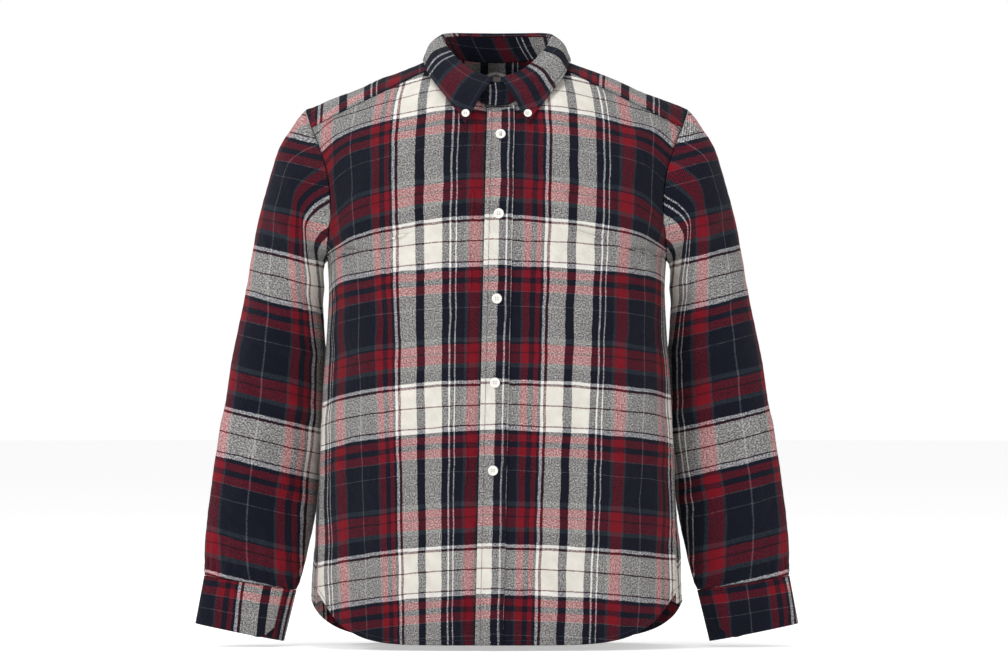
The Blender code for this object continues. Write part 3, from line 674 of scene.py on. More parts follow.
def yoke_rim():
    """Places round the yoke's outer edge, from the front seam at +X round the back to that at -X."""
    front = [armhole(step, True) for step in range(FRONT_SEAM_STEP, -1, -1)]
    behind = [armhole(step, False) for step in range(1, BACK_SEAM_STEP + 1)]
    shoulder = [(point.x, roll_at(point.x, point.y)) for point in front + behind]
    shoulder[FRONT_SEAM_STEP] = (ARMHOLE_TOP_X, 0.0)
    across = list(back_seam())[::-1]
    other = [(-x, roll) for x, roll in shoulder[::-1]]
    return shoulder + across[1:-1] + other


def make_yoke():
    start = NECK_STEP * NECK_STEPS_TO_YOKE
    turn_back = start + NECK_STEP * NECK_STEPS_OVER_SHOULDER
    angles = [start + NECK_STEP * step for step in range(NECK_STEPS_OVER_SHOULDER + 1)]
    across = math.tau - 2 * turn_back
    angles += [turn_back + across * i / BACK_COLUMNS for i in range(1, BACK_COLUMNS)]
    angles += [math.tau - angle for angle in angles[NECK_STEPS_OVER_SHOULDER::-1]]
    columns = []
    for angle, (rim_x, rim_roll) in zip(angles, yoke_rim()):
        inner = neck(angle)
        roll = roll_at(inner.x, inner.y)
        columns.append(
            [
                over_shoulder(between(inner.x, rim_x, t), between(roll, rim_roll, t))
                for t in (row / SEAM_COLUMNS for row in range(SEAM_COLUMNS + 1))
            ]
        )
    points = finer(columns, 10, 10)
    points = creased(points, facings(points, turn=True), YOKE_CREASES, pucker=0.0003)
    x, y, z = points[..., 0], points[..., 1], points[..., 2]
    over = np.sign(y) * np.hypot(y, RIDGE_AT_MIDDLE - SHOULDER_SLOPE * np.abs(x) - z)
    place = (YOKE_CHECK[0] + x * math.hypot(1, SHOULDER_SLOPE), YOKE_CHECK[1] + over)
    sew("yoke", points, place, CLOTH, turn=True)
    topstitch("yoke", [inset_line(points, facings(points, turn=True), "right", YOKE_STITCH)])


make_yoke()


# ---- fronts and placket ----
# The two fronts hang from the yoke, and the left one laps over the right. A separate folded
# strip runs down the left front's edge and takes the buttonholes.
DOUBLE_CLOTH = 0.0014  # wall of cuffs, stand, leaf and plackets
LAYER = DOUBLE_CLOTH + SEAM  # how far one layer lies outside the next
CORNER_SEAM = 0.00095  # the same gap where two pieces meet at an angle, across their outer faces
HEM_RISE_FRONT = 0.080
PLACKET_WIDTH = 0.035
PLACKET_TOP_X = 0.0058
PLACKET_LEAN = 0.0227  # the closure drifts to the wearer's right going down
PLACKET_TOP_GAP = 0.0035
UNDERLAP = 0.033  # width of the right front that lies under the left
TUCK = 0.014  # width over which the right front dips under the left
TUCK_DEPTH = 0.0027
STRIP_COLUMNS = 3  # across the strip along the closure
FRONT_CHECK = 0.2248  # place in the check at the middle of the body
DRAW_TOP = -0.2025  # the stripes begin to draw in to the closure at this height
DRAW_HEIGHT = 0.41  # and have moved by the next three values this far below it
LEFT_DRAW = (0.0086, 0.038)  # shift, and share by which the check narrows
RIGHT_DRAW = (0.0117, 0.150)
CLOSURE_DRAW = 0.0094  # shift of the right front's stripes within the next distance of the middle
CLOSURE_REACH = 0.012
FRONT_DROOP = {1: 0.30, -1: 0.45}  # as BACK_DROOP, for the left and the right front
PLACKET_CHECK = (0.13875, 0.0015)
PLACKET_PUFF = 0.0006  # how far the folded strip swells between its edges
BUTTON_Z = (-0.083, -0.181, -0.286, -0.390, -0.499)
BUTTONHOLE_LENGTH = 0.016
BUTTONHOLE_TURNS = 22
BUTTONHOLE_SLIT = 0.0003  # from the slit's middle to its thread
BUTTONHOLE_BITE = 0.0011
FRONT_FINER = (10, 8)
LEFT_CREASES = (
    (0.178, -0.245, -36, 0.15, 0.015, 0.0024), (0.150, -0.300, -42, 0.17, 0.014, 0.0026),
    (0.120, -0.215, -62, 0.13, 0.010, 0.0018), (0.150, -0.385, -24, 0.20, 0.014, 0.0026),
    (0.090, -0.560, -9, 0.26, 0.015, 0.0024), (0.175, -0.545, -5, 0.20, 0.013, 0.0028),
    (0.055, -0.330, 6, 0.17, 0.011, 0.0014), (0.115, -0.640, 12, 0.12, 0.011, 0.0018),
    (0.075, -0.140, -28, 0.11, 0.010, 0.0016), (0.140, -0.130, -14, 0.12, 0.012, 0.0018),
    (0.060, -0.470, -70, 0.09, 0.009, 0.0012), (0.120, -0.465, -58, 0.12, 0.010, 0.0014),
)
RIGHT_CREASES = (
    (-0.182, -0.235, 34, 0.17, 0.010, 0.0034), (-0.145, -0.315, 42, 0.16, 0.014, 0.0026),
    (-0.128, -0.205, 66, 0.12, 0.010, 0.0018), (-0.165, -0.420, 20, 0.22, 0.014, 0.0028),
    (-0.085, -0.590, 7, 0.24, 0.016, 0.0026), (-0.160, -0.620, 13, 0.15, 0.012, 0.0024),
    (-0.060, -0.360, -8, 0.19, 0.012, 0.0014), (-0.110, -0.500, 64, 0.12, 0.010, 0.0014),
    (-0.078, -0.150, 30, 0.12, 0.010, 0.0016), (-0.145, -0.140, 12, 0.11, 0.012, 0.0018),
    (-0.055, -0.655, 76, 0.08, 0.009, 0.0012),
)


def placket_x(z):
    """Middle of the closure at a height."""
    return PLACKET_TOP_X + PLACKET_LEAN * (z + PLACKET_WIDTH)


def front_seam(side):
    """Places along the yoke's front seam, from the neckline to the armhole, as x and roll."""
    start = neck(NECK_STEP * NECK_STEPS_TO_YOKE)
    end = armhole(FRONT_SEAM_STEP, True)
    roll_in, roll_out = roll_at(start.x, start.y), roll_at(end.x, end.y)
    for column in range(SEAM_COLUMNS + 1):
        t = column / SEAM_COLUMNS
        yield between(start.x, end.x, t) * side, between(roll_in, roll_out, t)


def chest_facing(x, z):
    """The way the chest faces near the closure."""
    here, lower = body(angle_of(x, z), z), body(angle_of(x, z), z - 0.01)
    return Vector((0, lower.z - here.z, here.y - lower.y)).normalized()


def front_rows(side, strip, neck_angles, inner_x):
    """Rows of a front from its top edge to the hem, each from the closure to the side seam.

    Its first columns span a strip of that width along the closure.
    """
    across = [strip * i / STRIP_COLUMNS for i in range(STRIP_COLUMNS + 1)]
    start_x = inner_x(neck(0).z) * side
    in_neck = [math.asin((start_x + out) / NECK_HALF_WIDTH) for out in across]
    top = [neck(angle * side) for angle in in_neck + neck_angles]
    top += [over_shoulder(x, roll - SEAM_ROLL) for x, roll in list(front_seam(side))[1:]]
    angles = [angle_of(point.x, point.z) * side for point in top]
    in_strip = angles[STRIP_COLUMNS]
    shares = [(angle - in_strip) / (angles[-1] - in_strip) for angle in angles]
    levels = edge_levels(FRONT_SEAM_STEP, hem(SIDE_ANGLE_HEM, HEM_FRONT, HEM_RISE_FRONT))
    rows = [top]
    for level in levels[1:]:
        down = (levels[0] - level) / (levels[0] - levels[-1])
        outer = outer_angle(level, ARMHOLE_PULL_FRONT, side_angle(level))
        row = []
        for column, (share, start) in enumerate(zip(shares, top)):
            hem_z = hem(max(share, 0) * SIDE_ANGLE_HEM, HEM_FRONT, HEM_RISE_FRONT)
            z = level if share == shares[-1] else between(start.z, hem_z, down)
            angle = angle_of(inner_x(z) * side + across[min(column, STRIP_COLUMNS)], z)
            if column > STRIP_COLUMNS:
                angle = between(angle, outer, share)
            row.append(body(angle * side, z))
        rows.append(row)
    return rows


def front_place(points, side, inner_x):
    """Place in the check: the stripes draw in to the closure going down the wearer's right."""
    start = np.array([inner_x(z) for z in points[:, 0, 2]])[:, None]
    across = start + side * travelled(points, 1, flat=True)
    down = np.clip((DRAW_TOP - points[..., 2]) / DRAW_HEIGHT, -0.3, 1.3)
    shift, narrowing = LEFT_DRAW if side > 0 else RIGHT_DRAW
    drawn = (across + shift * down) / (1 - narrowing * down)
    if side < 0:
        drawn = np.where(across < -CLOSURE_REACH, drawn, across + CLOSURE_DRAW * down)
    return FRONT_CHECK + drawn, check_down(points, FRONT_DROOP[side] * across**2)


def make_buttonholes(strip, out):
    """An upright slit under each button, its edges closed by a dense zigzag of thread."""
    made = bmesh.new()
    middle = strip[:, strip.shape[1] // 2]
    for z in BUTTON_Z:
        i = int(np.abs(middle[:, 2] - z).argmin())
        place, facing = Vector(middle[i]), Vector(out[i, strip.shape[1] // 2])
        down = Vector((0, 0, -1)) + facing * facing.z
        down.normalize()
        aside = facing.cross(down)
        for turn in range(BUTTONHOLE_TURNS):
            from_middle = BUTTONHOLE_LENGTH * (turn / (BUTTONHOLE_TURNS - 1) - 0.5)
            for side in (-1, 1):
                start = place + down * from_middle + aside * side * BUTTONHOLE_SLIT
                bite = aside * side * BUTTONHOLE_BITE + down * BUTTONHOLE_SLIT
                one_stitch(made, start, start + bite, facing)
    sew_on_thread(made, "buttonholes")


def make_fronts():
    def left_edge(z):
        return placket_x(z) - PLACKET_WIDTH / 2

    def right_edge(z):
        return left_edge(z) + UNDERLAP

    steps = [NECK_STEP * step for step in range(2, NECK_STEPS_TO_YOKE + 1)]
    left = finer(front_rows(1, PLACKET_WIDTH, steps, left_edge), *FRONT_FINER)
    place = front_place(left, 1, left_edge)
    plain = left
    left = creased(left, facings(left, turn=True), LEFT_CREASES)
    sew("front_left", left, place, CLOTH, turn=True)
    out = facings(left, turn=True)
    lines = [inset_line(left, out, "bottom", EDGE_STITCH)]

    # The right front runs on under the left, so its inner part dips in by one layer.
    rows = front_rows(-1, UNDERLAP + TUCK, steps, right_edge)
    for row in rows:
        for i, point in enumerate(row):
            under = ease(1 + (point.x - left_edge(point.z) + CORNER_SEAM) / TUCK)
            row[i] = point - chest_facing(point.x, point.z) * under * TUCK_DEPTH
    right = finer(rows, *FRONT_FINER)
    place = front_place(right, -1, right_edge)
    right = creased(right, facings(right), RIGHT_CREASES)
    sew("front_right", right, place, CLOTH)
    lines.append(inset_line(right, facings(right), "bottom", EDGE_STITCH))
    topstitch("fronts", lines)

    columns = STRIP_COLUMNS * FRONT_FINER[1] + 1
    first = int(PLACKET_TOP_GAP / np.linalg.norm(plain[1, 0] - plain[0, 0])) + 1
    strip = left[first:, :columns]
    out = facings(strip, turn=True)
    across = travelled(plain[first:, :columns], 1)
    puffed = PLACKET_PUFF * np.sin(math.pi * np.clip(across / PLACKET_WIDTH, 0, 1)) ** 0.5
    strip = strip + out * (LAYER + puffed)[..., None]
    down = check_down(plain[first:, :columns], 0.0)
    place = (PLACKET_CHECK[0] + across, PLACKET_CHECK[1] + down)
    sew("placket", strip, place, DOUBLE_CLOTH, turn=True)
    out = facings(strip, turn=True)
    topstitch("placket", [inset_line(strip, out, edge, EDGE_STITCH) for edge in ("left", "right")])
    make_buttonholes(strip, out)


make_fronts()


# ---- buttons ----
# Four-hole buttons of polished off-white resin, turned with a raised rim and sewn on with
# thread through all four holes.
BUTTON_RADIUS = 0.0063
BUTTON_HEIGHT = 0.0024
BUTTON_GAP = 0.00055  # below a button, so that it clears cloth that curves under it
BUTTON_COLOUR = (0.83, 0.81, 0.76)
THREAD_COLOUR = (0.62, 0.60, 0.55)
# painted shade: the four holes are not cut, each is a thin dark disc on the button's face
HOLE_SHADE_COLOUR = (0.10, 0.09, 0.08)
BUTTON_SLICES = 40
BUTTON_PROFILE = (
    # share of the radius, share of the height
    (0, 0.52), (0.40, 0.52), (0.60, 0.56), (0.70, 0.72), (0.78, 0.95), (0.86, 1.0), (0.94, 0.92),
    (0.99, 0.70), (1, 0.45), (0.95, 0.2), (0.86, 0.03), (0.70, 0), (0, 0),
)
HOLE_TOP = 0.53  # share of the height at which the holes show
HOLE_OUT = 0.22  # shares of the radius
HOLE_RADIUS = 0.115
HOLE_DEPTH = 0.0002
THREAD_SLOT, HOLE_SHADE_SLOT = 1, 2  # of a button's materials
STRAND_OFFSET = 0.35  # shares of a hole's radius
STRAND_RADIUS = 0.42

resin = plain_finish("off-white resin", BUTTON_COLOUR, 0.28, 0.16)
thread = plain_finish("button thread", THREAD_COLOUR, 0.85, 0.3)
hole_shadow = plain_finish("painted button hole shade", HOLE_SHADE_COLOUR, 0.9)


def small_rod(disc, radius, depth, segments, slot):
    """A short closed rod added to the button, in one of its three materials."""
    made = bmesh.ops.create_cone(
        disc, cap_ends=True, segments=segments, radius1=radius, radius2=radius, depth=depth
    )["verts"]
    for face in {face for vert in made for face in vert.link_faces}:
        face.material_index = slot
    return made


def make_button(node, place, facing, radius):
    """A turned button with four sewn holes, lying on the cloth at a place."""
    disc = bmesh.new()
    points = [disc.verts.new((out * radius, 0, up * BUTTON_HEIGHT)) for out, up in BUTTON_PROFILE]
    for first, second in zip(points, points[1:]):
        disc.edges.new((first, second))
    bmesh.ops.spin(
        disc, geom=disc.verts[:] + disc.edges[:], axis=(0, 0, 1), cent=(0, 0, 0), angle=math.tau,
        steps=BUTTON_SLICES, use_merge=True,
    )
    bmesh.ops.remove_doubles(disc, verts=disc.verts, dist=1e-7)
    bmesh.ops.recalc_face_normals(disc, faces=disc.faces)
    top = HOLE_TOP * BUTTON_HEIGHT
    hole_out, hole_radius = radius * HOLE_OUT, radius * HOLE_RADIUS
    lie_flat = Matrix.Rotation(math.pi / 2, 3, "X")
    for side_x in (-1, 1):
        for side_y in (-1, 1):
            # painted shade: a thin dark disc where the shade inside a hole would show
            hole = small_rod(disc, hole_radius, HOLE_DEPTH, 14, HOLE_SHADE_SLOT)
            bmesh.ops.translate(disc, verts=hole, vec=(side_x * hole_out, side_y * hole_out, top))
        for lie in (-STRAND_OFFSET, STRAND_OFFSET):
            thickness = hole_radius * STRAND_RADIUS
            strand = small_rod(disc, thickness, hole_out * 2.1, 8, THREAD_SLOT)
            bmesh.ops.rotate(disc, verts=strand, cent=(0, 0, 0), matrix=lie_flat)
            middle = (side_x * hole_out + lie * hole_radius, 0, top + hole_radius * 0.5)
            bmesh.ops.translate(disc, verts=strand, vec=middle)
    stand = facing.to_track_quat("Z", "Y").to_matrix().to_4x4()
    bmesh.ops.transform(
        disc, verts=disc.verts, matrix=Matrix.Translation(place + facing * BUTTON_GAP) @ stand
    )
    mesh = finished_mesh(disc, f"{node}_turned", (resin, thread, hole_shadow))
    mesh.shade_smooth()
    mesh.set_sharp_from_angle(angle=math.radians(40))
    piece = put_in_scene(f"{node}_turned", mesh)
    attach(piece, "root")
    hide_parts(node)


for number, z in enumerate(BUTTON_Z, 1):
    facing = chest_facing(placket_x(z), z)
    place = body(angle_of(placket_x(z), z), z) + facing * LAYER
    make_button(f"button_{number}", place, facing, BUTTON_RADIUS)


# ---- collar stand ----
# A curved band of doubled cloth round the neck, sewn to the yoke and the fronts. Its left end
# laps over the right one at the throat.
STAND_TOP = (
    # neck_angle_deg, x, y, z
    (0, 0.000, -0.0655, -0.0180),
    (30, 0.0345, -0.0560, -0.0030),
    (60, 0.0600, -0.0300, 0.0230),
    (90, 0.0680, -0.0040, 0.0390),
    (120, 0.0590, 0.0250, 0.0445),
    (150, 0.0340, 0.0430, 0.0455),
    (180, 0.0000, 0.0490, 0.0455),
)
STAND_LAP = math.radians(14)
STAND_CORNER = 0.012  # reach of the rounding at each end
STAND_CORNER_DROP = 0.4  # and its depth, as a share of the stand's height
STAND_ROWS = 3
STAND_COLUMNS = 34
STAND_CHECK = (0.158, 0.090)


def stand_point(angle, up, layer=0.0):
    """Point of the stand: up is 0 at the neckline and 1 at the top."""
    low = neck(angle) + Vector((0, 0, CORNER_SEAM))
    turned = abs((math.degrees(angle) + 180) % 360 - 180)
    x, y, z = along(STAND_TOP, turned)
    high = Vector((math.copysign(x, math.sin(angle)), y, z))
    out = Vector((math.sin(angle), -math.cos(angle), 0))
    return between(low, high, up) + out * layer


def make_stand():
    sweep = math.tau + 2 * STAND_LAP
    rows = []
    for row in range(STAND_ROWS + 1):
        points = []
        for column in range(STAND_COLUMNS + 1):
            turned = sweep * column / STAND_COLUMNS
            layer = LAYER * (1 - ease((turned - 2 * STAND_LAP) / STAND_LAP / 2))
            to_end = min(turned, sweep - turned) * NECK_HALF_WIDTH
            corner = max(1 - to_end / STAND_CORNER, 0)
            top = 1 - (1 - math.sqrt(1 - corner**2)) * STAND_CORNER_DROP
            points.append(stand_point(turned - STAND_LAP, top * row / STAND_ROWS, layer))
        rows.append(points)
    points = finer(rows, 6, 8)
    place = (STAND_CHECK[0] + travelled(points, 1), STAND_CHECK[1] + travelled(points, 0))
    sew("collar_stand", points, place, DOUBLE_CLOTH)


make_stand()


# ---- collar leaf ----
# The turned-down part, doubled cloth with an interlining, sewn into the stand's top edge. Each
# point is held down by a small button.
LEAF_EDGE = (
    # place_deg, x, y, height over the body
    (0, 0.0390, -0.0950, 0.0100),
    (14, 0.0480, -0.0890, 0.0090),
    (36, 0.0650, -0.0790, 0.0080),
    (64, 0.0860, -0.0540, 0.0070),
    (90, 0.0930, -0.0100, 0.0060),
    (120, 0.0830, 0.0370, 0.0070),
    (150, 0.0480, 0.0630, 0.0080),
    (180, 0.0000, 0.0700, 0.0080),
)
LEAF_END = math.radians(4)  # the leaves meet this far either side of the centre front
LEAF_COLUMNS = 14  # from one end to the centre back
LEAF_ROLL = 0.0035  # radius of the fold at the collar's top
LEAF_LIFT = 0.001  # of the fold over the stand's top
LEAF_BULGE = 0.0030
LEAF_FALL_ROWS = 4
COLLAR_BUTTON_RADIUS = 0.005
COLLAR_BUTTON_PLACE = 5  # degrees of leaf place
PLACE_BESIDE = 11  # from which the leaf's slope at the button is taken
COLLAR_BUTTON_DOWN = 0.88  # share of the fall
LEAF_CHECK = (0.0625, 0.088)
LEAF_STITCH = 0.0055  # from the leaf's free edges
LEAF_CLOTH = 0.355  # of the check's width along the leaf


def leaf_column(place, side):
    """Points across the leaf, from its seam with the stand over the fold to its outer edge."""
    angle = LEAF_END + (math.pi - LEAF_END) * place / 180
    seam = stand_point(angle * side, 1)
    x, y, height = along(LEAF_EDGE, place)
    edge = over_shoulder(x * side, roll_at(x, y)) + Vector((0, 0, height))
    out = Vector((math.sin(angle) * side, -math.cos(angle), 0))
    up = Vector((0, 0, 1))
    start = seam - out * DOUBLE_CLOTH + up * CORNER_SEAM
    centre = start + out * LEAF_ROLL + up * LEAF_LIFT
    points = [start]
    for turn in (180, 130, 85, 40):
        turn = math.radians(turn)
        points.append(centre + (out * math.cos(turn) + up * math.sin(turn)) * LEAF_ROLL)
    last = points[-1]
    for row in range(1, LEAF_FALL_ROWS + 1):
        t = row / LEAF_FALL_ROWS
        bulge = (out + up) * LEAF_BULGE * math.sin(math.pi * min(t * 1.1, 1))
        points.append(between(last, edge, t) + bulge)
    return points


def make_leaf():
    places = [180 * i / LEAF_COLUMNS for i in range(LEAF_COLUMNS + 1)]
    columns = [leaf_column(place, 1) for place in places]
    columns += [leaf_column(place, -1) for place in places[-2::-1]]
    points = finer(columns, 8, 6)
    along_neck = travelled(points, 0)
    share = along_neck / along_neck[-1:]
    place = (LEAF_CHECK[0] + LEAF_CLOTH * share, LEAF_CHECK[1] + travelled(points, 1))
    sew("collar_leaf", points, place, DOUBLE_CLOTH)
    out = facings(points)
    lines = [inset_line(points, out, "right", LEAF_STITCH)]
    for end in ("top", "bottom"):
        lines.append(inset_line(points, out, end, LEAF_STITCH)[len(columns) // 2 :])
    topstitch("collar_leaf", lines)
    for name, side in (("left", 1), ("right", -1)):
        here = leaf_column(COLLAR_BUTTON_PLACE, side)
        beside = leaf_column(PLACE_BESIDE, side)
        share = (1 - COLLAR_BUTTON_DOWN) * LEAF_FALL_ROWS
        place = between(here[-1], here[-2], share)
        facing = (here[-1] - here[-2]).cross(beside[-1] - here[-1]).normalized() * -side
        if facing.y > 0:
            facing.negate()
        make_button(f"collar_button_{name}", place, facing, COLLAR_BUTTON_RADIUS)


make_leaf()


# ---- sleeves, sleeve plackets and cuffs ----
# Each sleeve is one piece rolled round the arm, sewn into the armhole and up the underarm, and
# gathered a little into its cuff. The cuff is a doubled band whose ends lap on the inner side.
SLEEVE = (
    # outer_x, outer_z, inner_x, inner_z, outer_y, inner_y, half_depth
    (0.2655, -0.0830, 0.2190, -0.2440, 0.001, 0.004, 0.0680),
    (0.2860, -0.1370, 0.2200, -0.2680, 0.002, 0.012, 0.0680),
    (0.3040, -0.2120, 0.2190, -0.3050, 0.004, 0.024, 0.0640),
    (0.3175, -0.2875, 0.2175, -0.3480, 0.006, 0.036, 0.0590),
    (0.3325, -0.3625, 0.2165, -0.4020, 0.008, 0.044, 0.0540),
    (0.3440, -0.4320, 0.2185, -0.4560, 0.008, 0.044, 0.0490),
    (0.3540, -0.4900, 0.2240, -0.5130, 0.006, 0.038, 0.0440),
    (0.3615, -0.5375, 0.2315, -0.5600, 0.004, 0.028, 0.0390),
    (0.3655, -0.5875, 0.2400, -0.6070, 0.002, 0.016, 0.0320),
    (0.3667, -0.6334, 0.2533, -0.6514, 0.000, 0.004, 0.0190),
)
SLEEVE_ROWS = 17
SLEEVE_COLUMNS = 2 * ARMHOLE_STEPS
SLEEVE_FOLDS = (
    # row, row_width, angle_deg, angle_width_deg, depth
    (2.6, 0.9, 150, 24, 0.0050),
    (4.2, 0.5, 118, 30, 0.0030),
    (5.1, 0.4, 200, 34, 0.0045),
    (5.8, 0.5, 78, 26, 0.0025),
    (7.1, 0.6, 236, 30, 0.0040),
    (8.6, 0.5, 60, 12, 0.0020),
    (8.8, 0.5, 106, 12, 0.0022),
    (8.7, 0.5, 252, 14, 0.0022),
)
CUFF_TOP = (0.3668, -0.6342, 0.2534, -0.6522, 0.000, 0.004, 0.0190)
CUFF_END = (0.3780, -0.6940, 0.2690, -0.7160, 0.000, 0.004, 0.0185)
CUFF_LAP_FROM = math.radians(136)  # angle round the wrist at which the upper end stops
CUFF_LAP = math.radians(42)
CUFF_COLUMNS = 24
CUFF_ROWS = 3
CUFF_CORNER = 0.014
CUFF_BUTTON_ANGLE = math.radians(236)
SLEEVE_PLACKET_WIDTH = 0.024
SLEEVE_PLACKET_ROW = 12  # sleeve row at which it starts
SLEEVE_PLACKET_COLUMN = 11
SLEEVE_FINER = (12, 8)
SLEEVE_WEFT_LEAN = (0.238, 0.971)  # the check's rows lean this way across the sleeve
SLEEVE_WEFT_LINE = 0.2895
SLEEVE_WEFT_STRETCH = 0.995
SLEEVE_CHECK = {1: 0.273, -1: -0.004}
SLEEVE_FLATNESS = 0.73
CUFF_CHECK = {1: (-0.003, 0.070), -1: (0.150, 0.068)}
CUFF_STITCH = 0.0055  # from the cuff's edges
SLEEVE_PLACKET_CHECK = (0.02, 0.10)
LAP_SHARE = 0.25  # share of a lap's height that also moves it outwards and up
GATHERS = 23
GATHER_DEPTH = 0.0013
GATHER_LENGTH = 0.035
GATHER_START = 0.010  # they reach their depth this far above the cuff
SLEEVE_CREASES = (
    # x, z, lean_deg, length, width, depth
    (0.262, -0.200, -24, 0.16, 0.011, 0.0040), (0.245, -0.255, -52, 0.13, 0.010, 0.0034),
    (0.290, -0.250, -12, 0.15, 0.010, 0.0026), (0.262, -0.345, -68, 0.10, 0.009, 0.0030),
    (0.300, -0.380, -75, 0.09, 0.009, 0.0026), (0.250, -0.420, -58, 0.10, 0.010, 0.0034),
    (0.300, -0.470, 30, 0.12, 0.010, 0.0028), (0.262, -0.520, -48, 0.11, 0.009, 0.0026),
    (0.325, -0.540, 22, 0.12, 0.010, 0.0024), (0.290, -0.590, 12, 0.09, 0.007, 0.0026),
    (0.330, -0.595, 14, 0.08, 0.007, 0.0022), (0.258, -0.590, 10, 0.08, 0.006, 0.0022),
)


def ring_point(section, angle):
    """Point round a sleeve section: 0 is its outer side, 90 degrees its front."""
    outer_x, outer_z, inner_x, inner_z, outer_y, inner_y, half_depth = section
    outer = Vector((outer_x, outer_y, outer_z))
    inner = Vector((inner_x, inner_y, inner_z))
    middle = (outer + inner) / 2
    return middle + (outer - middle) * math.cos(angle) - Vector((0, half_depth * math.sin(angle), 0))


def sleeve_point(row, angle):
    """Point of the +X sleeve: row 0 is the armhole, and the later rows are those of SLEEVE."""
    column = math.degrees(angle) / 360 * SLEEVE_COLUMNS % SLEEVE_COLUMNS
    low, part = int(column), column % 1

    def key(i):
        if i > 0:
            return ring_point(SLEEVE[min(i, len(SLEEVE)) - 1], angle)
        ends = [hole(step % SLEEVE_COLUMNS) for step in (low, low + 1)]
        start = between(ends[0], ends[1], part)
        out = ring_point(SLEEVE[0], angle) - start
        return start + out.normalized() * CORNER_SEAM

    def hole(step):
        return armhole(min(step, SLEEVE_COLUMNS - step), step <= ARMHOLE_STEPS)

    i = min(int(row), len(SLEEVE) - 1)
    t = row - i
    point = smooth_curve(key(max(i - 1, 0)), key(i), key(i + 1), key(i + 2), t)
    inward = 0.0
    for fold_row, row_width, fold_angle, angle_width, deep in SLEEVE_FOLDS:
        away = ((row - fold_row) / row_width) ** 2
        away += ((math.degrees(angle) % 360 - fold_angle) / angle_width) ** 2
        inward += deep * math.exp(-away)
    middle = (key(i) + ring_other(i, angle)) / 2 if i else point
    toward = middle - point
    return point + toward.normalized() * inward if toward.length > 0.005 else point


def ring_other(i, angle):
    return ring_point(SLEEVE[min(i, len(SLEEVE)) - 1], angle + math.pi)


def cuff_point(angle, down, layer):
    """Point of the +X cuff: down is 0 at the sleeve and 1 at the wrist's edge."""
    section = [between(a, b, down) for a, b in zip(CUFF_TOP, CUFF_END)]
    point = ring_point(section, angle)
    middle = (ring_point(section, 0) + ring_point(section, math.pi)) / 2
    away = point - middle
    flat = Vector((away.x * LAP_SHARE, away.y, away.z * LAP_SHARE))
    return point + flat.normalized() * layer


def cuff_rows():
    sweep = math.tau + CUFF_LAP
    depth = (Vector(CUFF_END[:2]) - Vector(CUFF_TOP[:2])).length
    girth = sweep * CUFF_END[6] * 2
    rows = []
    for row in range(CUFF_ROWS + 1):
        points = []
        for column in range(CUFF_COLUMNS + 1):
            turned = sweep * column / CUFF_COLUMNS
            layer = LAYER * (1 - ease((turned - CUFF_LAP) / CUFF_LAP))
            to_end = turned / sweep * girth
            corner = max(1 - to_end / CUFF_CORNER, 0)
            reach = 1 - (1 - math.sqrt(1 - corner**2)) * CUFF_CORNER / depth
            down = reach * (row / CUFF_ROWS)
            points.append(cuff_point(CUFF_LAP_FROM - turned, down, layer))
        rows.append(points)
    return rows


def sleeve_rings():
    """The +X sleeve's rings, each from the underarm seam round the back and the outer side."""
    rows = []
    for row in range(SLEEVE_ROWS + 1):
        place = row / SLEEVE_ROWS * len(SLEEVE)
        ring = []
        for column in range(SLEEVE_COLUMNS + 1):
            step = (column + SLEEVE_COLUMNS // 2) % SLEEVE_COLUMNS
            ring.append(sleeve_point(place, math.tau * step / SLEEVE_COLUMNS))
        rows.append(ring)
    return rows


def placket_strip(rings):
    """The sleeve placket's points: some of the sleeve's own, and a strip's width beside them."""
    first = SLEEVE_PLACKET_COLUMN - SLEEVE_COLUMNS // 2
    strip = []
    for ring in rings[SLEEVE_PLACKET_ROW:]:
        near, middle, far = ring[first : first + 3]
        rest = SLEEVE_PLACKET_WIDTH - (middle - near).length
        strip.append([near, middle, between(middle, far, rest / (far - middle).length)])
    return finer(strip, 6, 5)


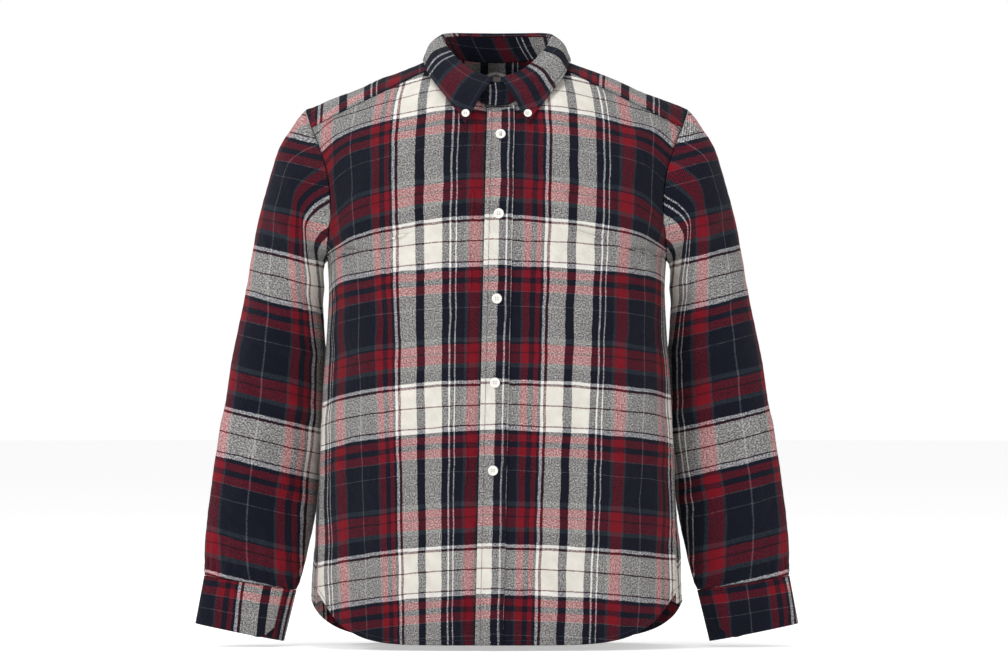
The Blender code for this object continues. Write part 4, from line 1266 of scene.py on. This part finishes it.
def make_sleeves():
    rings = sleeve_rings()
    points = finer(rings, *SLEEVE_FINER, closed=True)
    out = facings(points, turn=True, closed=True)
    to_cuff = travelled(points, 0)
    to_cuff = to_cuff[-1:] - to_cuff
    turned = np.linspace(0, math.tau, points.shape[1])[None]
    pleats = GATHER_DEPTH * np.sin(GATHERS * turned + 2 * np.sin(3 * turned))
    pleats = pleats * np.exp(-((to_cuff / GATHER_LENGTH) ** 2))
    pleats *= np.clip(to_cuff / GATHER_START, 0, 1)
    sleeve = creased(points, out, SLEEVE_CREASES, closed=True) - out * pleats[..., None]
    round_arm = travelled(points, 1)
    from_outer = round_arm - round_arm[:, points.shape[1] // 2][:, None]
    lean_x, lean_z = SLEEVE_WEFT_LEAN
    below_line = lean_x * points[..., 0] - lean_z * points[..., 2] - SLEEVE_WEFT_LINE
    down = SLEEVE_WEFT_STRETCH * below_line
    cuff = finer(cuff_rows(), 6, 8)
    cuff_across, cuff_down = travelled(cuff, 1), travelled(cuff, 0)
    spot = cuff_point(CUFF_BUTTON_ANGLE, 0.5, 0)
    beside = cuff_point(CUFF_BUTTON_ANGLE + 0.1, 0.5, 0)
    below = cuff_point(CUFF_BUTTON_ANGLE, 0.6, 0)
    facing = (below - spot).cross(beside - spot).normalized()
    strip = placket_strip(rings)
    for name, side in (("left", 1), ("right", -1)):
        flip = np.array((side, 1, 1))
        place = (SLEEVE_CHECK[side] - side * SLEEVE_FLATNESS * from_outer, down)
        sew(f"sleeve_{name}", sleeve * flip, place, CLOTH, turn=side > 0, closed=True)
        check_across, check_below = CUFF_CHECK[side]
        place = (check_across + side * cuff_across, check_below + cuff_down)
        sew(f"cuff_{name}", cuff * flip, place, DOUBLE_CLOTH, turn=side < 0)
        here, out = cuff * flip, facings(cuff) * flip
        edges = ("top", "bottom", "left")
        topstitch(f"cuff_{name}", [inset_line(here, out, edge, CUFF_STITCH) for edge in edges])
        raised = (strip + facings(strip, turn=True) * (LAYER + SEAM)) * flip
        check_across, check_below = SLEEVE_PLACKET_CHECK
        place = (check_across + travelled(strip, 1), check_below + travelled(strip, 0))
        sew(f"sleeve_placket_{name}", raised, place, DOUBLE_CLOTH, turn=side > 0)
        towards = Vector((facing.x * side, facing.y, facing.z))
        place = Vector((spot.x * side, spot.y, spot.z))
        make_button(f"cuff_button_{name}", place, towards, COLLAR_BUTTON_RADIUS)


make_sleeves()


# ---- stage, lights and camera ----
# White paper under the shirt, white studio walls far off, and three large soft lights.
FLOOR_Z = cad_box[0][2] - 0.004
FLOOR_RADIUS = 14
PAPER_COLOUR = (0.92, 0.92, 0.92, 1)
PAPER_GLOW = 0.43
ROOM_LIGHT = 0.56  # what the walls throw on the shirt
WALL_WHITE = 1.0  # and how bright they look
LIGHTS = (
    # name, place, size, power in watts
    ("key", (-2.3, -2.0, 1.5), (1.1, 1.1), 56),
    ("fill", (2.0, -2.4, 0.4), (1.8, 1.8), 12),
    ("top", (-0.2, 0.1, 2.4), (1.6, 1.2), 34),
)
LIT_SPOT = Vector((0, 0, -0.35))
VIEW_WIDTH = 1.26
DISTANCE = 7.0  # from the plane that fills the view's width
PLANE_Y = -0.045
VIEW_MIDDLE = (0.009, -0.3325)
SENSOR = 36

paper = bpy.data.materials.new("white paper")
paper.use_nodes = True
paper_shader = paper.node_tree.nodes["Principled BSDF"]
paper_shader.inputs["Base Color"].default_value = PAPER_COLOUR
paper_shader.inputs["Roughness"].default_value = 0.9
paper_shader.inputs["Emission Color"].default_value = (1, 1, 1, 1)
paper_shader.inputs["Emission Strength"].default_value = PAPER_GLOW
floor = bmesh.new()
bmesh.ops.create_circle(floor, cap_ends=True, radius=FLOOR_RADIUS, segments=96)
bmesh.ops.translate(floor, verts=floor.verts, vec=(0, 0, FLOOR_Z))
put_in_scene("paper_floor", finished_mesh(floor, "paper_floor", [paper]))

for name, place, size, power in LIGHTS:
    lamp = bpy.data.lights.new(name, "AREA")
    lamp.shape = "RECTANGLE"
    lamp.size, lamp.size_y = size
    lamp.energy = power
    light = put_in_scene(name, lamp)
    light.location = place
    light.rotation_euler = (LIT_SPOT - Vector(place)).to_track_quat("-Z", "Y").to_euler()

bpy.context.scene.view_settings.view_transform = "Standard"
world = bpy.data.worlds.new("studio")
world.use_nodes = True
walls = world.node_tree.nodes["Background"]
walls.inputs["Color"].default_value = (1, 1, 1, 1)
ray = world.node_tree.nodes.new("ShaderNodeLightPath")
strength = math_node(
    world.node_tree.nodes, world.node_tree.links, "MULTIPLY_ADD", ray.outputs["Is Camera Ray"],
    WALL_WHITE - ROOM_LIGHT, ROOM_LIGHT,
)
world.node_tree.links.new(strength, walls.inputs["Strength"])
bpy.context.scene.world = world

camera_data = bpy.data.cameras.new("camera")
camera_data.sensor_width = SENSOR
camera_data.lens = SENSOR * DISTANCE / VIEW_WIDTH
camera = put_in_scene("camera", camera_data)
camera.location = (VIEW_MIDDLE[0], PLANE_Y - DISTANCE, VIEW_MIDDLE[1])
camera.rotation_euler = (math.pi / 2, 0, 0)
bpy.context.scene.camera = camera
